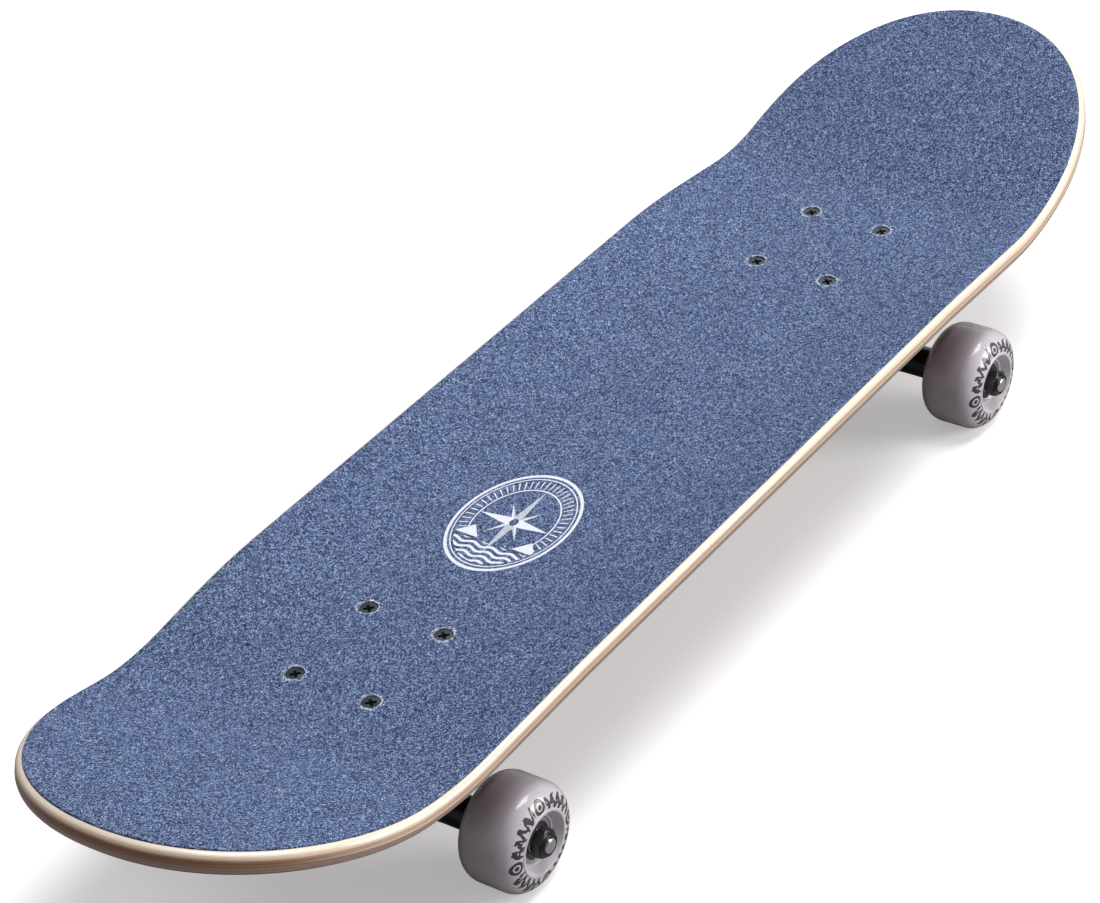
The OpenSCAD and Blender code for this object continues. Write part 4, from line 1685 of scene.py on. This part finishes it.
@dataclass
class Trucks:
    """Both trucks: castings, kingpins, bushings, washers, axles and mounting bolts, in millimetres."""

    shop: Workshop
    voxel: float = 0.00065
    fairing: int = 7
    seam_h: float = 0.22
    deck_t: float = 11.0
    bolt_proud: float = 0.2
    plate_t: float = 5.0
    kingpin_r: float = 4.75
    kingpin_span: tuple[float, float] = (-25.05, 27.2)
    kingpin_thread: float = 17.0
    barrel: tuple[float, float] = (2.5, 16.0)
    cone: tuple[float, float] = (-13.5, -2.5)
    bushing_r: float = 12.0
    bore_r: float = 5.0
    axle_r: float = 3.95
    axle_half: float = 99.0
    axle_thread: float = 10.5

    def casting(self, node: str) -> Shape:
        """A casting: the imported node's solid with its edges faired into cast fillets.

        Args:
            node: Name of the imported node.

        Returns:
            The casting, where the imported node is.
        """
        source = frame["nodes"][node]
        shape = source.copy()
        shape.data = source.data.copy()
        shape.parent = None
        shape.name = f"{node}_pattern"
        for key in list(shape.keys()):
            del shape[key]
        bpy.context.scene.collection.objects.link(shape)
        tidy_mesh(shape, 2e-5)
        apply_modifier(shape, "REMESH", mode="VOXEL", voxel_size=self.voxel)
        apply_modifier(shape, "SMOOTH", factor=0.5, iterations=self.fairing)
        self.parting_line(shape)
        activate(shape)
        bpy.ops.object.shade_smooth()
        return shape

    def parting_line(self, shape: Shape) -> None:
        """Raises the thin seam where the mould's halves met, along the board's middle and the axle.

        Args:
            shape: The casting that is changed.
        """
        points = points_of(shape)
        normals = np.empty(points.size, dtype=np.float32)
        shape.data.vertex_normals.foreach_get("vector", normals)
        normals = normals.reshape(-1, 3)
        axle_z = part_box("front_axle")[0].z + self.axle_r * MM
        across = np.abs(points[:, 1]) > 0.018
        off = np.where(across, points[:, 2] - axle_z, points[:, 1])
        sideways = np.where(across, np.abs(normals[:, 2]), np.abs(normals[:, 1])) < 0.6
        seam = self.seam_h * MM * np.exp(-((off / (0.6 * MM)) ** 2)) * sideways
        set_points(shape, points + normals * seam[:, None])

    def kingpin(self) -> Shape:
        """The kingpin: a threaded shaft under a hexagonal head.

        Returns:
            The kingpin, up the Z axis.
        """
        low, high = self.kingpin_span
        corners = [Corner(0, low), Corner(self.kingpin_r - 0.8, low), Corner(self.kingpin_r, low + 0.8)]
        corners += shaft_rings(self.kingpin_r, low + 0.8, low + self.kingpin_thread, 0.18)
        corners += [Corner(self.kingpin_r, high), Corner(0, high)]
        pin = turned("kingpin", corners, 48)
        cut_thread(pin, self.kingpin_r, low, low + self.kingpin_thread, 1.06)
        deselect()
        bpy.ops.mesh.primitive_cylinder_add(
            vertices=6, radius=8.2 * MM, depth=6 * MM, location=(0, 0, 30 * MM)
        )
        head = bpy.context.object
        bpy.ops.object.transform_apply(location=True)
        carve(head, turned("head_chamfer", [
            Corner(0, 27), Corner(8.2, 27), Corner(8.2, 32.2), Corner(7.1, 33), Corner(0, 33)
        ], 96), "INTERSECT")
        carve(pin, head, "UNION")
        smooth(pin, 30)
        return pin

    def washer(self, radius: float) -> Shape:
        """A cupped washer with its lip towards positive Z.

        Args:
            radius: Outer radius, in millimetres.

        Returns:
            The washer.
        """
        inner = self.kingpin_r + 0.15
        return turned("cupped_washer", [
            Corner(inner, 0, 0.15), Corner(radius, 0, 1.0), Corner(radius, 3.1, 0.4),
            Corner(radius - 1.1, 3.1, 0.4),
            Corner(radius - 1.1, 1.5, 0.5), Corner(inner, 1.5, 0.15),
        ], 72)

    def barrel_bushing(self) -> Shape:
        """The board-side bushing, slightly waisted.

        Returns:
            The bushing, up the Z axis.
        """
        low, high = self.barrel
        middle = (low + high) / 2
        return turned("barrel_bushing", [
            Corner(self.bore_r, low, 0.3), Corner(self.bushing_r - 0.2, low, 1.2),
            Corner(self.bushing_r, low + 3.2, 3), Corner(self.bushing_r - 0.8, middle, 4),
            Corner(self.bushing_r, high - 3.2, 3), Corner(self.bushing_r - 0.2, high, 1.2),
            Corner(self.bore_r, high, 0.3),
            *[Corner(self.bore_r, high - (high - low) * k / 6) for k in range(1, 6)],
        ], 72, 6)

    def cone_bushing(self) -> Shape:
        """The road-side bushing, tapered towards its washer.

        Returns:
            The bushing, up the Z axis.
        """
        low, high = self.cone
        return turned("cone_bushing", [
            Corner(self.bore_r, low, 0.3), Corner(9.0, low, 0.9), Corner(10.4, (low + high) / 2),
            Corner(self.bushing_r, high - 2.5, 1.0), Corner(self.bushing_r, high, 0.9),
            Corner(self.bore_r, high, 0.3),
            *[Corner(self.bore_r, high - (high - low) * k / 5) for k in range(1, 5)],
        ], 72, 5)

    def pivot_cup(self) -> Shape:
        """The plastic cup that the hanger's nose turns in.

        Returns:
            The cup, open towards negative Z.
        """
        deep = [math.radians(a) for a in range(6, 90, 12)]
        outer = [Corner(8.3 * math.cos(a), 8.3 * math.sin(a)) for a in deep]
        inner = [Corner(5.75 * math.cos(a), 5.75 * math.sin(a)) for a in reversed(deep)]
        return turned("pivot_cup", [
            Corner(5.75, -3.5, 0.4), Corner(8.3, -3.5, 0.5), *outer,
            Corner(0, 8.3), Corner(0, 5.75), *inner,
        ], 56)

    def axle(self) -> Shape:
        """The axle, threaded at both ends.

        Returns:
            The axle, along the Z axis.
        """
        half, r, cut = self.axle_half, self.axle_r, self.axle_thread
        corners = [Corner(0, -half), Corner(r, -half, 1.5)]
        corners += shaft_rings(r, 1.6 - half, cut - half, 0.21)
        corners += [Corner(r, cut - half), Corner(r, 0), Corner(r, half - cut)]
        corners += shaft_rings(r, half - cut, half - 1.6, 0.21)
        corners += [Corner(r, half, 1.5), Corner(0, half)]
        axle = turned("axle", corners, 48, 6)
        cut_thread(axle, r, 1.6 - half, cut - half, 1.25)
        cut_thread(axle, r, half - cut, half - 1.6, 1.25)
        smooth(axle, 30)
        return axle

    def at_bolts(self, shape: Shape, height: float, flip: bool, board: Board) -> Shape:
        """A shape repeated at the four bolts of a truck, joined.

        Args:
            shape: One fastener, which is used up.
            height: Height it sits at, in millimetres.
            flip: Whether it is turned over.
            board: The board, for the bolts' places.

        Returns:
            The four as one shape.
        """
        turn = Matrix.Rotation(math.pi if flip else 0, 4, "X")
        dx, dy = board.bolt_half
        remember(shape, "own", points_of(shape))
        made = [
            duplicate(shape, shape.name, Matrix.Translation((i * dx, j * dy, height * MM)) @ turn)
            for i in (-1, 1) for j in (-1, 1)
        ]
        bpy.data.objects.remove(shape)
        return join(made)

    def build(self, board: Board) -> None:
        """Models each piece once, and seats a copy of it on each truck.

        Args:
            board: The board, for the bolts' places.
        """
        shop = self.shop
        pin, nut_top, cone_low = self.kingpin(), -15.05, self.cone[0]
        nut = LockNut(14.3, 6.0, 6.2, 2.5, 4.8).build(shop, "kingpin_nut", ZINC, NYLON)
        lock_nut = LockNut(9.5, 3.4, 4.4, 2.2, 2.45).build(shop, "lock_nut", ZINC, NYLON)
        bolt = shop.dress(FlatBolt().build("bolt"), DULL_OXIDE)
        nut.data.transform(Matrix.Translation((0, 0, nut_top * MM)) @ Matrix.Rotation(math.pi, 4, "X"))
        upper, lower = self.washer(13.5), self.washer(12.5)
        upper.data.transform(Matrix.Translation((0, 0, 17.5 * MM)) @ Matrix.Rotation(math.pi, 4, "X"))
        lower.data.transform(Matrix.Translation((0, 0, (cone_low - 1.5) * MM)))
        bolts = shop.template(self.at_bolts(bolt, self.deck_t + self.bolt_proud, False, board))
        lock_nuts = shop.template(self.at_bolts(lock_nut, -self.plate_t, True, board))
        shop.template(nut)
        for shape, finish in ((pin, ZINC), (upper, ZINC), (lower, ZINC)):
            shop.template(shape, finish)
        cup = shop.template(self.pivot_cup(), BUSHING)
        axle = shop.template(self.axle(), POLISHED)
        barrel = shop.template(self.barrel_bushing(), BUSHING)
        cone = shop.template(self.cone_bushing(), BUSHING)
        home = TruckFrame(End.FRONT).at_truck().inverted()
        plate = shop.template(self.casting("front_baseplate"), BLACK_PAINT)
        hanger = shop.template(self.casting("front_hanger"), BLACK_PAINT)
        for end in End:
            place, hangs = TruckFrame(end), f"{end.word}_hanger_set"
            on_pin = place.on_kingpin()
            for template, name, matrix, slot, body in (
                (plate, "baseplate", place.at_truck() @ home, Slot.CASTING, "board"),
                (hanger, "hanger", place.at_truck() @ home, Slot.CASTING, hangs),
                (pin, "kingpin", on_pin, Slot.ZINC, "board"),
                (nut, "kingpin_nut", on_pin, Slot.ZINC, "board"),
                (upper, "upper_washer", on_pin, Slot.ZINC, "board"),
                (lower, "lower_washer", on_pin, Slot.ZINC, "board"),
                (cup, "pivot_cup", place.on_pivot(), Slot.BUSHING, "board"),
                (axle, "axle", place.on_axle(), Slot.ZINC, hangs),
                (bolts, "mounting_bolts", place.at_truck(), Slot.BLACK_STEEL, "board"),
                (lock_nuts, "lock_nuts", place.at_truck(), Slot.ZINC, "board"),
            ):
                shop.seat(template, f"{end.word}_{name}", matrix, slot, body)
            for template, name, still, moving in (
                (barrel, "barrel_bushing", self.barrel[1], self.barrel[0]),
                (cone, "cone_bushing", self.cone[0], self.cone[1]),
            ):
                made = shop.seat(template, f"{end.word}_{name}", on_pin, Slot.BUSHING, "")
                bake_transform(made)


# ---- Wheels -------------------------------------------------------------------


@dataclass
class Wheels:
    """Four wheels on their bearings. Z runs outward from the truck's middle, in millimetres."""

    shop: Workshop
    radius: float = 26.0
    inner: float = 63.0
    outer: float = 95.0
    edge_r: float = 9.5
    bearings: tuple[float, float] = (70.5, 87.5)
    bearing_half: float = 3.5
    bearing_r: float = 11.0
    washers: tuple[float, float] = (66.0, 91.0)
    nut_z: float = 92.0

    def tyre(self) -> Shape:
        """The poured urethane, with a lipped recess at both faces and two bearing seats.

        Returns:
            The tyre.
        """
        seat, core = self.bearing_r + 0.02, self.bearing_r - 1.5
        out_seat, in_seat = self.bearings[1] - self.bearing_half, self.bearings[0] + self.bearing_half
        middle = (self.inner + self.outer) / 2

        def face(z: float, way: int) -> list[Corner]:
            """Corners from the tread's edge in to a bearing's seat.

            Args:
                z: Z of the face, in millimetres.
                way: 1 for the outer face, -1 for the inner one.

            Returns:
                The corners in order.
            """
            return [
                Corner(self.radius, z, self.edge_r), Corner(16.2, z, 0.2),
                Corner(15.9, z + way * 0.4, 0.25),
                Corner(14.8, z + way * 0.4, 0.35), Corner(14.3, z - way * 0.3, 0.3),
                Corner(11.8, z - way * 3.85, 0.2), Corner(seat, z - way * 4, 0.1),
            ]

        corners = face(self.outer, 1) + [
            Corner(seat, out_seat, 0.1), Corner(core, out_seat, 0.2), Corner(core, in_seat, 0.2),
            Corner(seat, in_seat, 0.1),
        ] + face(self.inner, -1)[::-1] + [Corner(self.radius, middle)]
        return turned("tyre", corners, 128, 10)

    def pair(self, name: str, corners: Sequence[Corner], mirrored: bool = False, steps: int = 72) -> Shape:
        """One turned shape at each bearing, joined, with a second on its far side if mirrored.

        Args:
            name: Name of the pair.
            corners: The half section, in millimetres.
            mirrored: Whether each gets a second on its far side.
            steps: Steps round the axis.

        Returns:
            The joined shapes.
        """
        first = turned(name, corners, steps)
        flips = (0, math.pi) if mirrored else (0,)
        made = [
            duplicate(first, name, Matrix.Translation((0, 0, z * MM)) @ Matrix.Rotation(flip, 4, "X"))
            for z in self.bearings for flip in flips
        ]
        bpy.data.objects.remove(first)
        return join(made)

    def templates(self) -> list[tuple[str, Shape, Slot, str]]:
        """Each wheel piece with its node's ending, its slot and its body's ending.

        Returns:
            Each piece's name, shape, slot and body, for every corner to copy.
        """
        shop, half = self.shop, self.bearing_half
        outer_ring = self.pair("outer_ring", [
            Corner(9, -half, 0.2), Corner(self.bearing_r, -half, 0.5), Corner(self.bearing_r, half, 0.5),
            Corner(9, half, 0.2), Corner(9, 1.4), Corner(9.55, 0.6, 0.5),
            Corner(9.55, -0.6, 0.5), Corner(9, -1.4),
        ])
        inner_ring = self.pair("inner_ring", [
            Corner(4, half, 0.4), Corner(6, half, 0.2), Corner(6, 1.4), Corner(5.45, 0.6, 0.5),
            Corner(5.45, -0.6, 0.5), Corner(6, -1.4), Corner(6, -half, 0.2), Corner(4, -half, 0.4),
        ])
        seal = self.pair("seal", [
            Corner(6.15, 3.0), Corner(8.97, 3.0), Corner(8.97, 3.3, 0.1), Corner(8.5, 3.42, 0.1),
            Corner(8.2, 3.2, 0.15), Corner(7.1, 3.2, 0.15), Corner(6.8, 3.42, 0.12),
            Corner(6.15, 3.35, 0.1),
        ], mirrored=True)
        spacer = turned("spacer", [
            Corner(4, 74, 0.2), Corner(5.6, 74, 0.3), Corner(5.6, 84, 0.3), Corner(4, 84, 0.2)
        ])
        washers = join([turned("washer", [
            Corner(4, z, 0.1), Corner(5.6, z, 0.25), Corner(5.6, z + 1, 0.25), Corner(4, z + 1, 0.1)
        ]) for z in self.washers])
        nut = LockNut(12.7, 4.6, 5.4, 1.7, 4.0).build(shop, "axle_nut", BLACK_OXIDE, BLACK_NYLON)
        nut.data.transform(Matrix.Translation((0, 0, self.nut_z * MM)))
        shop.template(nut)
        return [
            ("wheel", shop.template(self.tyre(), WHEEL), Slot.WHEEL, "wheel_set"),
            ("bearing_outer_rings", shop.template(outer_ring, RACE_STEEL), Slot.BEARING, "wheel_set"),
            ("bearing_shields", shop.template(seal, SEAL), Slot.SEAL, "wheel_set"),
            ("bearing_inner_rings", shop.template(inner_ring, RACE_STEEL), Slot.BEARING, "hanger_set"),
            ("bearing_spacer", shop.template(spacer, RACE_STEEL), Slot.BEARING, "hanger_set"),
            ("speed_washers", shop.template(washers, ZINC), Slot.ZINC, "hanger_set"),
            ("axle_nut", nut, Slot.BLACK_STEEL, "hanger_set"),
        ]

    def build(self) -> None:
        """Seats every wheel piece at the four corners."""
        made = self.templates()
        for end in End:
            joint = next(j for j in frame["joints"] if j["name"] == f"{end.word}_left_spin")
            for side in Side:
                corner = f"{end.word}_{side.name.lower()}"
                axle = Matrix.Translation((joint["pos_m"][0], 0, joint["pos_m"][2]))
                matrix = axle @ Matrix.Rotation(-side.value * math.pi / 2, 4, "X")
                for name, template, slot, ending in made:
                    body = f"{end.word}_hanger_set" if ending == "hanger_set" else f"{corner}_{ending}"
                    self.shop.seat(template, f"{corner}_{name}", matrix, slot, body)
                self.shop.dress(frame["nodes"][f"{corner}_bearing_balls"], RACE_STEEL)


# ---- Studio -------------------------------------------------------------------


@dataclass
class Studio:
    """A pale floor, soft lights and the camera."""

    floor_half: float = 12.0
    eye: tuple[float, float, float] = (-1.1607, -0.8387, 1.0575)
    right: tuple[float, float, float] = (0.56086, -0.82465, -0.07339)
    up: tuple[float, float, float] = (0.50210, 0.26832, 0.82213)
    lens: float = 119.67

    def floor(self) -> None:
        """A wide, pale, faintly mottled floor that glows faintly for the camera alone, painted light that
        lightens its shadows, and shows dark grey to every other ray.
        """
        deselect()
        bpy.ops.mesh.primitive_plane_add(size=2 * self.floor_half)
        floor = bpy.context.object
        floor.name = "studio_floor"
        material = bpy.data.materials.new("pale_floor")
        material.use_nodes = True
        graph = Graph(material.node_tree)
        shader = material.node_tree.nodes["Principled BSDF"]
        shader.inputs["Roughness"].default_value = 0.9
        place = graph.add("ShaderNodeTexCoord").outputs["Object"]
        tone = graph.mix(graph.noise(place, 0.6, 2), (0.93, 0.93, 0.935, 1), (0.96, 0.96, 0.96, 1))
        seen = graph.add("ShaderNodeLightPath").outputs["Is Camera Ray"]
        graph.feed(shader.inputs["Base Color"], graph.mix(seen, (0.30, 0.285, 0.29, 1), tone))
        # Painted light: the floor glows for camera rays only, lifting its shadows towards white.
        graph.feed(shader.inputs["Emission Color"], graph.mix(seen, (0, 0, 0, 1), (1, 1, 1, 1)))
        shader.inputs["Emission Strength"].default_value = 0.35
        floor.data.materials.append(material)

    def light(self, name: str, place: tuple, aim: tuple, size: float, power: float, colour: tuple) -> None:
        """A square soft light aimed at a point.

        Args:
            name: Name of the light.
            place: Where it is, in metres.
            aim: What it points at.
            size: Length of its side, in metres.
            power: Its power, in watts.
            colour: Its colour.
        """
        lamp = bpy.data.lights.new(name, "AREA")
        lamp.shape, lamp.size, lamp.energy, lamp.color = "SQUARE", size, power, colour
        shape = bpy.data.objects.new(name, lamp)
        shape.location = place
        shape.rotation_euler = (Vector(aim) - Vector(place)).to_track_quat("-Z", "Y").to_euler()
        bpy.context.scene.collection.objects.link(shape)

    def build(self) -> None:
        """Makes the floor, the lights, the surroundings and the camera."""
        self.floor()
        self.light("top_key", (0.75, -0.45, 3.0), (0, 0, 0), 1.6, 84, (1.0, 0.99, 0.98))
        self.light("side_fill", (1.3, -2.2, 0.62), (0, 0, 0.05), 1.2, 50, (1.0, 0.985, 0.97))
        self.light("far_rim", (2.6, 0.9, 1.6), (0, 0, 0.05), 1.6, 14, (0.97, 0.98, 1.0))
        scene = bpy.context.scene
        scene.world = bpy.data.worlds.new("studio_air")
        scene.world.use_nodes = True
        scene.world.node_tree.nodes["Background"].inputs[0].default_value = (1, 1, 1, 1)
        air = Graph(scene.world.node_tree)
        seen = air.add("ShaderNodeLightPath").outputs["Is Camera Ray"]
        air.feed(
            scene.world.node_tree.nodes["Background"].inputs[1], air.math("MULTIPLY_ADD", seen, 0.8, 0.2)
        )
        scene.view_settings.view_transform = "Standard"
        camera = bpy.data.objects.new("camera", bpy.data.cameras.new("camera"))
        camera.data.lens = self.lens
        right, up = Vector(self.right).normalized(), Vector(self.up).normalized()
        back = right.cross(up)
        camera.matrix_world = Matrix((right, up, back)).transposed().to_4x4()
        camera.matrix_world.translation = Vector(self.eye)
        scene.collection.objects.link(camera)
        scene.camera = camera


def main() -> None:
    """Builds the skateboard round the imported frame."""
    logging.basicConfig(level=logging.INFO, format="%(name)s: %(message)s")
    shop = Workshop()
    board = Board(shop)
    board.build()
    Trucks(shop).build(board)
    Wheels(shop).build()
    shop.clear_templates()
    Studio().build()


if __name__ == "__main__":
    main()
